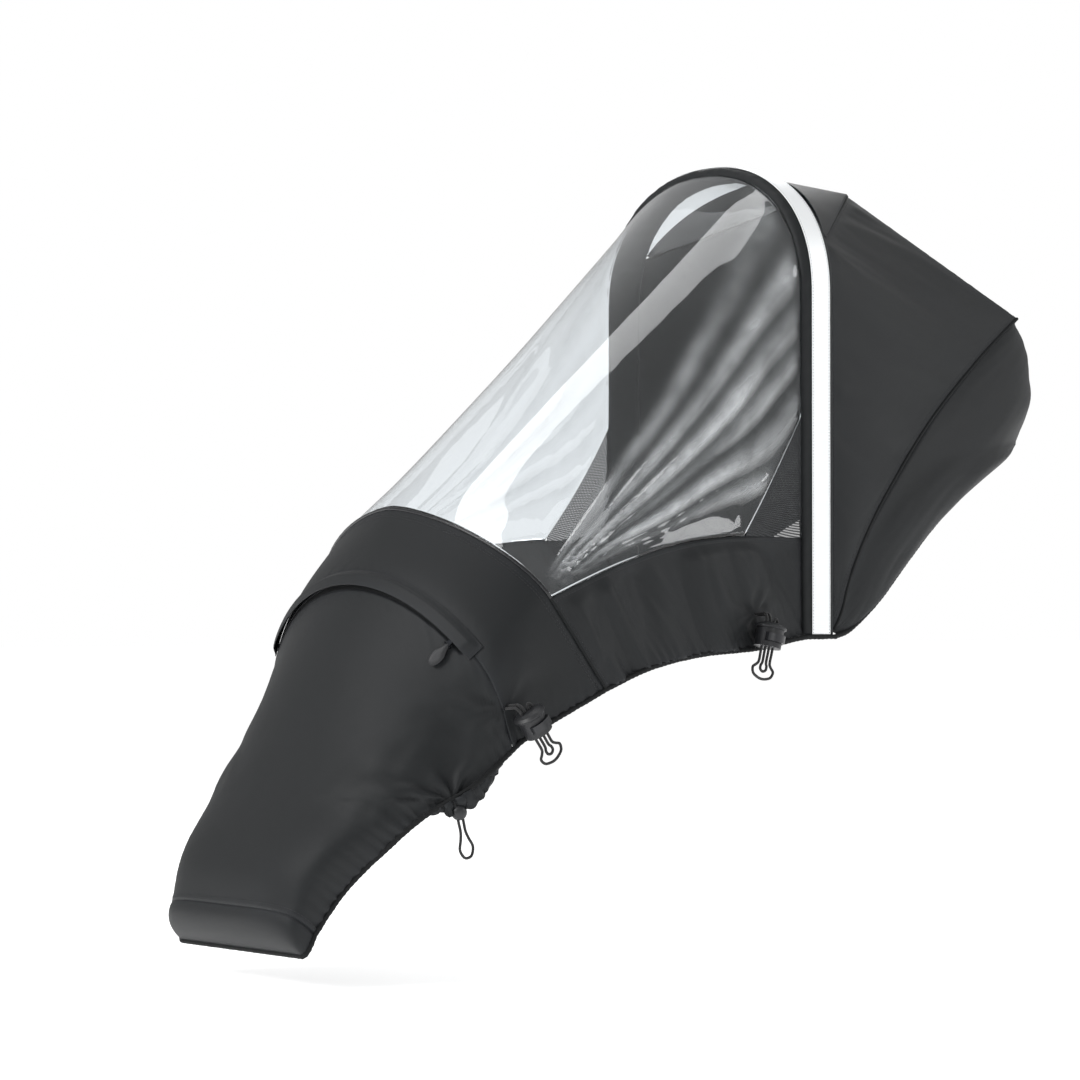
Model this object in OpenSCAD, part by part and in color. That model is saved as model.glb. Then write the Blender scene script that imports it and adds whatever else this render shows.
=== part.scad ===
// Weather cover of a child bicycle trailer: a hoop, a clear window, a leg cover with a foot pocket,
// a hood, a zip across the knees, and cord locks with elastic loops along the hem.
// The child's feet point to -Y, the hood is at +Y, and +X is the child's left.
// The origin is midway between the two lower ends of the hoop, at the height of the hem.

/* [Hoop] */
// Distance between the centre lines of the two legs of the hoop
hoop_w = 344; // [280:1:420]
// Height of the hoop's highest point above its lower ends
hoop_h = 510; // [420:1:620]
// Height of the curved top of the hoop
arch_rise = 142; // [110:1:180]
// Width of the sleeve, measured along the trailer
sleeve_w = 42; // [34:1:56]
// Thickness of the sleeve, measured across the rod
sleeve_t = 16; // [14:0.5:22]
// Width of the reflective strip
strip_w = 25; // [15:1:32]
// Diameter of the rod in the sleeve
rod_d = 8; // [6:0.5:9]
// Wall of the end socket around the rod
socket_wall = 1.6; // [1:0.1:2]
// Depth that stays free in the end socket for the stub of the trailer frame
socket_depth = 32; // [20:1:40]
// Length of rod that is pressed into the end socket
socket_grip = 22; // [15:1:30]

/* [Leg cover] */
// Width across the knees
knee_w = 420; // [340:1:500]
// Width across the shins
shin_w = 344; // [280:1:400]
// Width of the foot pocket
foot_w = 248; // [200:1:300]
// How far the foot pocket lies in front of the hoop
foot_reach = 638; // [530:1:760]
// How far the foot pocket lies below the hem of the hoop
foot_drop = 270; // [220:1:330]
// Length of the rounded end of the foot pocket
foot_round = 24; // [15:1:30]
// Height of the knees above the hem of the hoop
knee_h = 134; // [110:1:160]

/* [Zip] */
// Half of the zip's length, measured straight across
zip_half = 182; // [150:1:190]
// Height of the zip's arch over its two ends
zip_sag = 76; // [60:1:90]
// Width of the row of teeth
chain_w = 5; // [4:0.1:7]
// Width of the slider
slider_w = 10; // [9.5:0.1:12]
// Length of the slider
slider_l = 14; // [10:0.5:18]
// Length of the pull
pull_l = 26; // [20:0.5:32]
// Width of the pull
pull_w = 11; // [9.5:0.5:14]
// Height of the rain flap over the cloth
flap_h = 6.2; // [6:0.1:9]

/* [Cloth] */
// Thickness of the coated cloth
cloth_t = 1.6; // [1:0.1:2.4]
// Thickness of the clear foil
foil_t = 1; // [0.6:0.1:1.6]
// Thickness of the mesh
mesh_t = 1.2; // [0.8:0.1:1.8]
// Diameter of the elastic hem
hem_d = 5; // [4:0.1:7]
// Diameter of the piping in the seams
piping_d = 3.4; // [2.5:0.1:5]

/* [Hood] */
// Width of the hood's top at its front edge
hood_front_w = 84; // [60:1:120]
// Width of the hood's top at its rear edge
hood_rear_w = 112; // [80:1:150]
// Height of the hood's front edge
hood_front_h = 494; // [420:1:560]
// How far the hood's rear corners lie behind the hoop
hood_reach = 402; // [330:1:480]

/* [Cord locks] */
// Diameter of the elastic cord
cord_d = 2.6; // [2:0.1:2.8]
// Clearance around the cord in a lock
cord_gap = 0.3; // [0.2:0.05:0.4]
// Diameter of the lock's head
head_d = 34; // [31:1:40]
// Diameter of the lock's body
body_d = 29; // [28:0.5:30]
// Height of the lock's body
body_h = 20; // [18:1:24]
// Width of the push button
button_w = 23; // [22:0.5:24]
// Height of the push button
button_h = 8.4; // [6:0.1:10]
// How far the push button goes in
button_travel = 3.5; // [2.5:0.1:4]
// Clearance around the push button
button_gap = 0.3; // [0.2:0.05:0.5]
// Diameter of the ball on the single loop
ball_d = 16; // [14:0.5:22]

/* [Hidden] */
$fn = 48;

cloth = "#33363A";
inner_cloth = "#55585C";
dark = "#1E1F21";
clear = [0.92, 0.93, 0.94, 0.35];
mesh_grey = "#A4A6A8";
reflective = "#E8EAEC";

// ---------- small functions ----------

function unit(v) = norm(v) > 1e-9 ? v / norm(v) : [0, 0, 0];
function clamp(x, low, high) = max(low, min(high, x));
function power(x, p) = sign(x) * pow(abs(x), p);
function mix(a, b, t) = a + (b - a) * t;
function flip(p) = [-p[0], p[1], p[2]];
function reversed(P) = [for (i = [len(P) - 1:-1:0]) P[i]];

// Length along a list of points, at each point
function lengths(P) = [
    for (i = 0, s = 0; i < len(P); s = s + (i + 1 < len(P) ? norm(P[i + 1] - P[i]) : 0), i = i + 1) s
];
function place(L, s, low, high) =
    high - low <= 1 ? low
    : let (mid = floor((low + high) / 2)) L[mid] <= s ? place(L, s, mid, high) : place(L, s, low, mid);
function at_length(P, L, s) =
    let (i = place(L, s, 0, len(P) - 1))
    mix(P[i], P[i + 1], clamp((s - L[i]) / max(1e-9, L[i + 1] - L[i]), 0, 1));
// The same line with n equal steps
function even(P, n) =
    let (L = lengths(P), total = L[len(L) - 1]) [for (j = [0:n]) at_length(P, L, total * j / n)];

// Smooth curve through points, t from 0 to 1
function end_point(P, i) =
    i < 0 ? 2 * P[0] - P[1] : i >= len(P) ? 2 * P[len(P) - 1] - P[len(P) - 2] : P[i];
function smooth(P, t) =
    let (
        x = t * (len(P) - 1),
        i = min(floor(x), len(P) - 2),
        f = x - i,
        a = end_point(P, i - 1), b = P[i], c = P[i + 1], d = end_point(P, i + 2)
    )
    (2 * b + (c - a) * f + (2 * a - 5 * b + 4 * c - d) * f * f + (3 * b - a - 3 * c + d) * f * f * f) / 2;

// ---------- solids made from points ----------

// Closed sheet: its outer face is the grid, and it is t thick towards the inside
module sheet(grid, t) {
    rows = len(grid);
    cols = len(grid[0]);
    count = rows * cols;
    function normal(i, j) = unit(cross(
        grid[min(i + 1, rows - 1)][j] - grid[max(i - 1, 0)][j],
        grid[i][min(j + 1, cols - 1)] - grid[i][max(j - 1, 0)]
    ));
    inner = [for (i = [0:rows - 1]) for (j = [0:cols - 1]) grid[i][j] - t * normal(i, j)];
    outer = [for (i = [0:rows - 1]) for (j = [0:cols - 1]) grid[i][j]];
    function id(i, j) = i * cols + j;
    // A strip of two triangles between the outer and the inner face
    function wall(a, b) = [[a, b, b + count], [a, b + count, a + count]];
    faces = [
        for (i = [0:rows - 2]) for (j = [0:cols - 2]) for (f = [
            [id(i, j), id(i + 1, j + 1), id(i + 1, j)], [id(i, j), id(i, j + 1), id(i + 1, j + 1)],
            [id(i, j) + count, id(i + 1, j) + count, id(i + 1, j + 1) + count],
            [id(i, j) + count, id(i + 1, j + 1) + count, id(i, j + 1) + count]
        ]) f,
        for (j = [0:cols - 2]) each wall(id(0, j + 1), id(0, j)),
        for (j = [0:cols - 2]) each wall(id(rows - 1, j), id(rows - 1, j + 1)),
        for (i = [0:rows - 2]) each wall(id(i, 0), id(i + 1, 0)),
        for (i = [0:rows - 2]) each wall(id(i + 1, cols - 1), id(i, cols - 1))
    ];
    polyhedron(concat(outer, inner), faces, convexity = 10);
}

function tangent(P, i) = unit(P[min(i + 1, len(P) - 1)] - P[max(i - 1, 0)]);
// A side vector carried along the line without twist
function carried(P, start) = [
    for (
        i = 0, n = unit(start - (start * tangent(P, 0)) * tangent(P, 0));
        i < len(P);
        n = let (k = min(i + 1, len(P) - 1)) unit(n - (n * tangent(P, k)) * tangent(P, k)), i = i + 1
    ) n
];
// Round bar along a line of points
module tube(P, d, sides, start = [0, 0, 1]) {
    side = carried(P, start);
    rings = [
        for (i = [0:len(P) - 1]) let (n = side[i], m = cross(tangent(P, i), n))
        for (k = [0:sides - 1]) P[i] + d / 2 * (cos(360 * k / sides) * n + sin(360 * k / sides) * m)
    ];
    last = (len(P) - 1) * sides;
    faces = [
        [for (k = [0:sides - 1]) k],
        [for (k = [sides - 1:-1:0]) last + k],
        for (i = [0:len(P) - 2]) for (k = [0:sides - 1]) let (
            a = i * sides + k, b = i * sides + (k + 1) % sides, c = a + sides, e = b + sides
        ) each [[a, c, b], [b, c, e]]
    ];
    polyhedron(rings, faces, convexity = 10);
}

// ---------- the hoop ----------

hoop_half = hoop_w / 2;
spring_h = hoop_h - arch_rise;
arch_power = 2 / 2.2;

// Line of the hoop from the left leg's lower end over the top to the right leg's, at a distance out
// from the centre line
function hoop_line(out, foot_z, y = 0) = concat(
    [for (i = [0:7]) [hoop_half + out, y, mix(foot_z, spring_h, i / 8)]],
    [for (i = [0:24]) let (a = 7.5 * i) [
        (hoop_half + out) * power(cos(a), arch_power), y,
        spring_h + (arch_rise + out) * power(sin(a), arch_power)
    ]],
    [for (i = [7:-1:0]) [-hoop_half - out, y, mix(foot_z, spring_h, i / 8)]]
);

socket_d = rod_d + 2 * socket_wall;
socket_z = 4;
socket_web = 1.5;
rod_z = socket_z + socket_depth + socket_web;

module hoop_rod() {
    color(dark) tube(hoop_line(0, rod_z), rod_d, 10, [0, 1, 0]);
}

module hoop_socket(side) {
    color(dark) translate([side * hoop_half, 0, socket_z]) difference() {
        cylinder(h = socket_depth + socket_web + socket_grip, d = socket_d);
        translate([0, 0, -1]) cylinder(h = socket_depth + 1, d = rod_d);
        translate([0, 0, socket_depth + socket_web]) cylinder(h = socket_grip + 1, d = rod_d);
    }
}

sleeve_sides = 12;
function sleeve_ring(p, out, half_w, half_t) = [
    for (k = [0:sleeve_sides - 1]) let (a = 360 * k / sleeve_sides)
    p + half_w * power(cos(a), 2 / 3) * [0, 1, 0] + half_t * power(sin(a), 2 / 3) * out
];
module hoop_sleeve() {
    line = hoop_line(0, 0.5);
    rings = len(line);
    n = sleeve_sides;
    outward = [for (i = [0:rings - 1]) cross(tangent(line, i), [0, 1, 0])];
    outer = [for (i = [0:rings - 1]) each sleeve_ring(line[i], outward[i], sleeve_w / 2, sleeve_t / 2)];
    inner = [for (i = [0:rings - 1]) each
        sleeve_ring(line[i], outward[i], sleeve_w / 2 - cloth_t, sleeve_t / 2 - cloth_t)];
    count = rings * n;
    faces = [
        for (i = [0:rings - 2]) for (k = [0:n - 1]) let (
            a = i * n + k, b = i * n + (k + 1) % n, c = a + n, e = b + n
        ) each [
            [a, b, c], [b, e, c],
            [a + count, c + count, b + count], [b + count, c + count, e + count]
        ],
        for (k = [0:n - 1]) let (b = (k + 1) % n) each [[k, k + count, b], [b, k + count, b + count]],
        for (k = [0:n - 1]) let (a = (rings - 1) * n + k, b = (rings - 1) * n + (k + 1) % n)
            each [[a, b, a + count], [b, b + count, a + count]]
    ];
    color(cloth) polyhedron(concat(outer, inner), faces, convexity = 10);
}

strip_t = 0.9;
module reflective_strip() {
    grid = [for (y = [-0.5, 0.5]) hoop_line(sleeve_t / 2 + strip_t, 2, y * strip_w)];
    color(reflective) sheet(grid, strip_t);
}

// ---------- the leg cover ----------

// How far the real sizes are from the ones that the cloth's outline was drawn for
reach_k = foot_reach / 638;
drop_k = foot_drop / 270;
knee_k = knee_h / 134;
knee_half = knee_w / 2;
columns = 32;

// Arched section of the cloth, open below: half width, hem [y, z], crown [y, z], roundness
function arch(half, hem, crown, n) = [
    for (i = [0:48]) let (a = 3.75 * i, k = power(sin(a), 2 / n), yz = mix(hem, crown, k))
    [half * power(cos(a), 2 / n), yz[0], yz[1]]
];

// The zip's arch is a true arc, so that its slider can run along it
zip_hem = [-428 * reach_k, -112 * drop_k];
zip_crown = [-482 * reach_k, 58 * knee_k];
zip_r = (zip_half * zip_half + zip_sag * zip_sag) / (2 * zip_sag);
zip_up = unit(zip_crown - zip_hem);
zip_axis = zip_crown - zip_r * zip_up;
zip_tilt = atan2(zip_up[1], zip_up[0]);
zip_end = asin(zip_half / zip_r);
// Angle between the zip's plane and the line square to the cloth
zip_lean = 45;
function zip_point(x, up, forward) = [
    x,
    zip_axis[0] + up * cos(zip_tilt) - forward * sin(zip_tilt),
    zip_axis[1] + up * sin(zip_tilt) + forward * cos(zip_tilt)
];
// Section of the cloth that lies s below the zip: three arcs, and straight down to the hem
function zip_section(s, half, hem_up) = let (
    r = zip_r - s * cos(zip_lean),
    forward = s * sin(zip_lean),
    side_r = (half - r * sin(zip_end)) / (1 - sin(zip_end)),
    cx = (r - side_r) * sin(zip_end),
    cu = (r - side_r) * cos(zip_end),
    left = concat(
        [[half, hem_up]],
        [for (i = [0:6]) let (a = (90 - zip_end) * i / 6) [cx + side_r * cos(a), cu + side_r * sin(a)]],
        [for (i = [1:10]) let (a = 90 - zip_end * (1 - i / 10)) [r * cos(a), r * sin(a)]]
    ),
    whole = concat(left, [for (i = [len(left) - 2:-1:0]) [-left[i][0], left[i][1]]])
) [for (p = whole) zip_point(p[0], p[1], forward)];
zip_hem_up = zip_r - norm(zip_crown - zip_hem);

// Seam between the leg cover and the window, with the side panels' seams below its two corners
knee_corner = [knee_half - 5, -378 * reach_k, 40 * knee_k];
knee_hem = [knee_half + 2, -313 * reach_k, -53 * drop_k];
knee_arch = arch(knee_corner[0], [knee_corner[1], knee_corner[2]], [-436 * reach_k, knee_h], 1.6);
knee_seam = concat([knee_hem], knee_arch, [flip(knee_hem)]);

zip_below = 35;
zip_above = 14;
sections = [for (S = [
    arch(foot_w / 2, [-608 * reach_k, -294 * drop_k], [-638 * reach_k, -270 * drop_k], 5),
    arch(foot_w / 2 + 8, [-588 * reach_k, -262 * drop_k], [-632 * reach_k, -236 * drop_k], 4.2),
    arch(shin_w / 2, [-540 * reach_k, -198 * drop_k], [-584 * reach_k, -156 * drop_k], 2.8),
    zip_section(zip_below, knee_half - 3, zip_hem_up - 11),
    zip_section(0, knee_half, zip_hem_up),
    zip_section(-zip_above, knee_half + 1, zip_hem_up + 4),
    knee_seam
]) even(S, columns)];
knots = lengths([for (S = sections) S[columns / 2]]);
zip_v = knots[4];
knee_v = knots[6];

function slope(i, j) = (sections[i + 1][j] - sections[i][j]) / (knots[i + 1] - knots[i]);
function lead(i, j) =
    i == 0 ? slope(0, j) : i == len(knots) - 1 ? slope(i - 1, j)
    : let (a = knots[i] - knots[i - 1], b = knots[i + 1] - knots[i])
        (slope(i - 1, j) * b + slope(i, j) * a) / (a + b);
// Point of the leg cover at v along the leg and column j from the left hem over to the right one
function leg_point(v, j) = let (
    i = clamp(place(knots, v, 0, len(knots) - 1), 0, len(knots) - 2),
    h = knots[i + 1] - knots[i],
    t = (v - knots[i]) / h,
    p = sections[i][j], q = sections[i + 1][j], a = lead(i, j) * h, b = lead(i + 1, j) * h
) p + a * t + (3 * (q - p) - 2 * a - b) * t * t + (2 * (p - q) + a + b) * t * t * t;

// Half of the gap in the cloth along the zip, and the share of the cloth's width at which it starts
zip_gap = 9;
zip_girth = lengths(sections[4])[columns];
zip_share = (1 - 2 * zip_end * PI / 180 * zip_r / zip_girth) / 2;
function gap_at(j) = zip_gap * clamp((columns / 2 - abs(j - columns / 2)) - zip_share * columns + 1, 0, 1);
module leg_cover_lower() {
    color(cloth) sheet([for (i = [0:18]) [for (j = [0:columns])
        leg_point((zip_v - gap_at(j)) * i / 18, j)]], cloth_t);
}
module leg_cover_upper() {
    color(cloth) sheet([for (i = [0:7]) [for (j = [0:columns])
        leg_point(mix(zip_v + gap_at(j), knee_v, i / 7), j)]], cloth_t);
}

foot_axis = unit([0, -0.4, -0.92]);
function foot_point(a, p) = let (back = [p[0] * 0.97, sections[0][0][1], sections[0][0][2]])
    mix(back, p, power(cos(a), 0.7)) + foot_round * power(sin(a), 0.7) * foot_axis;
module foot_cap() {
    grid = [for (a = [90:-15:0]) [for (p = sections[0]) foot_point(a, p)]];
    color(cloth) sheet(grid, cloth_t);
}

// ---------- window, side panels and mesh vents ----------

// Height of the side panel at the hoop, and of the mesh vent over it
side_h = 105;
vent_h = 132;
// Share of the window's length at which the mesh vent starts
vent_start = 0.76;
// How far the window's lower side edges arch up
edge_rise = 24;
sleeve_front = -sleeve_w / 2 + 1;
sleeve_back = sleeve_w / 2 - 1;

window_rear = even(hoop_line(0, side_h, sleeve_front), columns);
window_fore = even(knee_arch, columns);
vent_share = vent_h / lengths(window_rear)[columns];
// Point of the window at v from the knees to the hoop and t from the left edge over to the right one
function window_point(v, t) = let (
    j = min(floor(t * columns), columns - 1),
    f = t * columns - j,
    fore = mix(window_fore[j], window_fore[j + 1], f),
    rear = mix(window_rear[j], window_rear[j + 1], f),
    edge = max(0, abs(2 * t - 1) * 2 - 1)
) mix(fore, rear, v) + [0, 0, edge_rise * sin(180 * v) * edge * edge];
function vent_edge(v) = vent_share * max(0, (v - vent_start) / (1 - vent_start));
window_rows = concat([for (i = [0:9]) vent_start * i / 9], [for (i = [1:4]) mix(vent_start, 1, i / 4)]);

module window_front() {
    grid = [for (v = window_rows) [for (j = [0:columns])
        window_point(v, mix(vent_edge(v), 1 - vent_edge(v), j / columns))]];
    color(clear) sheet(grid, foil_t);
}

module vent_mesh(side) {
    grid = [for (i = [0:4]) let (v = mix(vent_start + 0.02, 1, i / 4))
        [for (j = [0:4]) window_point(v, vent_edge(v) * j / 4)]];
    color(mesh_grey) mirror([side < 0 ? 1 : 0, 0, 0]) sheet(grid, mesh_t);
}

side_hem = even([for (i = [0:30]) smooth([
    knee_hem,
    [knee_half - 2, -253 * reach_k, -32 * drop_k],
    [mix(knee_half, hoop_half, 0.27), -181 * reach_k, -19 * drop_k],
    [mix(knee_half, hoop_half, 0.6), -88 * reach_k, -12 * drop_k],
    [hoop_half + 1, sleeve_front, 0]
], i / 30)], 12);
module side_panel(side) {
    grid = [for (i = [0:12]) [for (j = [0:6]) mix(side_hem[i], window_point(i / 12, 0), j / 6)]];
    color(cloth) mirror([side < 0 ? 1 : 0, 0, 0]) sheet(grid, cloth_t);
}

// ---------- the hood ----------

// Height at which the hood's front edge leaves the hoop
hood_join_h = 428;
hood_front_y = 155;
hood_rear_h = 366;
join_k = pow((hood_join_h - spring_h) / arch_rise, 2.2);
hood_join = [hoop_half * pow(1 - join_k, arch_power / 2), sleeve_back, hood_join_h];
ridge_front = [hood_front_w / 2, hood_front_y, hood_front_h];
ridge_rear = [hood_rear_w / 2, hood_reach, hood_rear_h];
hoop_foot = [hoop_half, sleeve_back, 0];
hood_k = hood_reach / 402;

hood_front = even(concat(
    [hoop_foot],
    [for (p = hoop_line(0, 0, sleeve_back)) if (p[0] > 0 && p[2] > 1 && p[2] < hood_join_h - 1) p],
    [hood_join, ridge_front]
), 18);
hood_seam_points = [
    hoop_foot,
    [hoop_half + 1, 34, 24],
    [hoop_half - 2, 50, 64],
    [hoop_half - 7, 81 * hood_k, 117],
    [hoop_half - 22, 132 * hood_k, 173],
    [mix(hoop_half, hood_rear_w / 2, 0.4), 208 * hood_k, 242],
    [mix(hoop_half, hood_rear_w / 2, 0.71), 311 * hood_k, 313],
    ridge_rear
];
hood_seam = even([for (i = [0:60]) smooth(hood_seam_points, i / 60)], 18);

side_bulge = 8;
function hood_side_point(i, c) = mix(hood_front[i], hood_seam[i], c)
    + side_bulge * sin(180 * c) * sin(10 * i) * unit([1, 0.2, 0.3]);
module hood_side(side) {
    grid = [for (c = [0:6]) [for (i = [1:18]) hood_side_point(i, c / 6)]];
    color(cloth) mirror([side < 0 ? 1 : 0, 0, 0]) sheet(grid, cloth_t);
}

// How far the hood's top rises over its two ridges, and how far its rear edge bends back
top_rise = 3;
top_reach = 6;
function top_point(t, a) = let (p = mix(ridge_front, ridge_rear, t))
    [p[0] * cos(a), p[1] + top_reach * t * sin(a), p[2] + top_rise * sin(a)];
module hood_top() {
    grid = [for (i = [0:8]) [for (a = [0:22.5:180]) top_point(i / 8, a)]];
    color(cloth) sheet(grid, cloth_t);
}

// Hem of the hood: up the back from the hoop's lower end to the middle, and the back's middle seam
back_hem_points = [
    hoop_foot,
    [hoop_half - 2, 48, 10],
    [hoop_half - 10, 92 * hood_k, 42],
    [hoop_half - 20, 132 * hood_k, 80],
    [hoop_half - 37, 190 * hood_k, 127],
    [hoop_half * 0.63, 262 * hood_k, 172],
    [hoop_half * 0.35, 360 * hood_k, 208],
    [0, 420 * hood_k, 225]
];
back_seam_points = [
    [0, 420 * hood_k, 225], [0, 446 * hood_k, 270], [0, 448 * hood_k, 312],
    [0, 434 * hood_k, 350], top_point(1, 90)
];
back_share = 0.62;
function back_edge(s) =
    s < back_share ? smooth(back_hem_points, s / back_share)
    : smooth(back_seam_points, (s - back_share) / (1 - back_share));
function back_point(s, a) = let (p = smooth(hood_seam_points, s), q = back_edge(s))
    [mix(p[0], q[0], 1 - cos(a)), mix(p[1], q[1], sin(a)), mix(p[2], q[2], sin(a))];
module hood_back(side) {
    grid = [for (i = [0:8]) [for (s = [0:16]) back_point(mix(0.04, 1, s / 16), 11.25 * i)]];
    color(cloth) mirror([side < 0 ? 1 : 0, 0, 0]) sheet(grid, cloth_t);
}

// Clear roof between the hoop's top and the hood's front edge
roof_edge = concat([hood_join], [for (a = [0:22.5:180]) top_point(0, a)], [flip(hood_join)]);
roof_rear = even(roof_edge, 24);
roof_fore = even(concat(
    [hood_join],
    [for (p = hoop_line(0, 0, sleeve_back)) if (p[2] > hood_join_h + 1) p],
    [flip(hood_join)]
), 24);
module window_roof() {
    grid = [for (i = [0:5]) [for (j = [1:23]) mix(roof_fore[j], roof_rear[j], i / 5)]];
    color(clear) sheet(grid, foil_t);
}

// ---------- bindings, piping and the elastic hem ----------

module knee_binding() {
    color(dark) tube(even(knee_arch, 28), piping_d, 8, [1, 0, 0]);
}
module leg_piping(side) {
    color(dark) mirror([side < 0 ? 1 : 0, 0, 0]) tube(even([knee_corner, knee_hem], 3), piping_d, 8);
}
module hood_piping(side) {
    color(dark) mirror([side < 0 ? 1 : 0, 0, 0])
        tube([for (i = [1:20]) smooth(hood_seam_points, i / 20)], piping_d, 8, [1, 0, 0]);
}
module hood_binding() {
    color(dark) tube(even(roof_edge, 30), piping_d, 8);
}

hem_half = even(concat(
    [for (x = [0.01, 0.4, 0.8]) foot_point(90, [x * foot_w / 2, 0, 0])],
    [for (a = [90:-30:0]) foot_point(a, sections[0][0])],
    [for (i = [1:12]) leg_point(knee_v * i / 12, 0)],
    [for (i = [1:12]) side_hem[i]],
    [for (i = [0:20]) smooth(back_hem_points, i / 20)]
), 56);
// The elastic passes outside the hoop's ends, so that the frame's stubs reach the sockets from below
hem_aside = rod_d / 2 + hem_d / 2 + 4;
function beside_socket(p) = p + exp(-pow(p[1] / 34, 2)) * [hem_aside, 0, -1.8];
module hem_elastic() {
    left = [for (i = [0:55]) beside_socket(hem_half[i])];
    color(dark) tube(concat(left, [hem_half[56]], reversed([for (p = left) flip(p)])), hem_d, 8, [0, 0, 1]);
}

// ---------- the zip ----------

zip_stop_deg = 1.2;
slider_start = 50;
slider_swing = 180 - 2 * slider_start;
slider_deg = slider_l / zip_r * 180 / PI;
tongue_w = 5;
tongue_deg = tongue_w / zip_r * 180 / PI;
tape_w = 12;
tape_t = 0.8;
chain_h = 0.7;
slider_h = 3.4;
slider_gap = 0.4;
tongue_t = 1.4;
pin_s = 13;
pin_h = slider_h + tongue_t / 2;
pin_d = 2;
pin_gap = 0.05;
pull_t = 3;
flap_t = 1.2;

// Solid of revolution along the zip: its section is given as [distance below the zip, height over the cloth]
module along_zip(points, from, to) {
    translate([0, zip_axis[0], zip_axis[1]]) rotate([zip_tilt, 0, 0]) rotate([0, 0, from])
        rotate_extrude(angle = to - from, $fn = 180) polygon([for (p = points) [
            zip_r - p[0] * cos(zip_lean) + p[1] * sin(zip_lean),
            p[0] * sin(zip_lean) + p[1] * cos(zip_lean)
        ]]);
}
// Place on the zip: x points up the leg, y along the zip, z out of the cloth
module on_zip(angle) {
    translate([0, zip_axis[0], zip_axis[1]]) rotate([zip_tilt, 0, 0]) rotate([0, 0, angle])
        translate([zip_r, 0, 0]) rotate([0, zip_lean, 0]) children();
}
function box(s0, s1, h0, h1) = [[s0, h0], [s0, h1], [s1, h1], [s1, h0]];

module zip_tape(side) {
    color(dark) along_zip(
        side > 0 ? box(0.6, tape_w, -cloth_t - tape_t, -cloth_t) : box(-tape_w, -0.6, -cloth_t - tape_t, -cloth_t),
        90 - zip_end, 90 + zip_end
    );
}
module zip_chain(side) {
    half = chain_w / 2;
    color(dark) along_zip(
        side > 0 ? box(0.1, half, -cloth_t, chain_h) : box(-half, -0.1, -cloth_t, chain_h),
        90 - zip_end + zip_stop_deg, 90 + zip_end - zip_stop_deg
    );
}
module zip_stops() {
    section = box(-chain_w / 2 - 0.8, chain_w / 2 + 0.8, -cloth_t, chain_h + 1);
    color(dark) {
        along_zip(section, 90 - zip_end, 90 - zip_end + zip_stop_deg);
        along_zip(section, 90 + zip_end - zip_stop_deg, 90 + zip_end);
    }
}
module zip_flap() {
    color(cloth) along_zip([
        [-15, -0.2], [-10.5, flap_h + flap_t], [9, flap_h + flap_t], [9, flap_h], [-9.5, flap_h], [-13.4, -0.2]
    ], 89 - zip_end, 91 + zip_end);
}
module zip_slider() {
    w = slider_w / 2;
    c = chain_w / 2 + slider_gap;
    low = -cloth_t + slider_gap;
    from = slider_start - slider_deg / 2;
    color(dark) {
        along_zip([
            [-w, low], [-w, slider_h - 0.6], [-w + 0.6, slider_h], [w - 0.6, slider_h], [w, slider_h - 0.6],
            [w, low], [c, low], [c, chain_h + slider_gap], [-c, chain_h + slider_gap], [-c, low]
        ], from, from + slider_deg);
        along_zip(
            box(-3, pin_s, slider_h - 0.2, slider_h + tongue_t),
            slider_start - tongue_deg / 2, slider_start + tongue_deg / 2
        );
        on_zip(slider_start) translate([-pin_s, -pull_w / 2 + 0.5, pin_h]) rotate([-90, 0, 0])
            cylinder(h = pull_w - 1, d = pin_d);
    }
}
module zip_pull() {
    ear = pull_t / 2 + 0.5;
    color(dark) on_zip(slider_start) translate([-pin_s, 0, pin_h]) difference() {
        union() {
            rotate([-90, 0, 0]) translate([0, 0, -pull_w / 2]) cylinder(h = pull_w, r = ear);
            translate([-pull_l + pull_w / 2, -pull_w / 2, -pull_t / 2]) cube([pull_l - pull_w / 2, pull_w, pull_t]);
            translate([-pull_l + pull_w / 2, 0, -pull_t / 2]) cylinder(h = pull_t, d = pull_w);
        }
        rotate([-90, 0, 0]) translate([0, 0, -pull_w]) cylinder(h = 2 * pull_w, d = pin_d + 2 * pin_gap);
        translate([-6, -tongue_w / 2 - 0.3, -6]) cube([12, tongue_w + 0.6, 12]);
    }
}

// ---------- cord locks ----------

// Distance from the cloth to the lock's middle, and height of the elastic's exits over the lock's rim
lock_stand = 23;
lock_exit = 14;
rear_lock = [hoop_half + 13.2 + lock_stand, -93 * reach_k, 8];
rear_tilt = -14;
front_lock = [knee_half + 0.4 + lock_stand, -424 * reach_k, -78 * drop_k];
front_tilt = 35;
ball_place = [knee_half - 11.5, -486 * reach_k, -173.5 * drop_k];
ball_tilt = 14;
strands = [-7.5, -2.5, 2.5, 7.5];
ball_strands = [-3, 3];
hole_d = cord_d + 2 * cord_gap;
slot_h = button_h + 2 * button_gap;
slot_z = -body_h / 2 - slot_h / 2;
button_out = 3;
button_back = 5;

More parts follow.
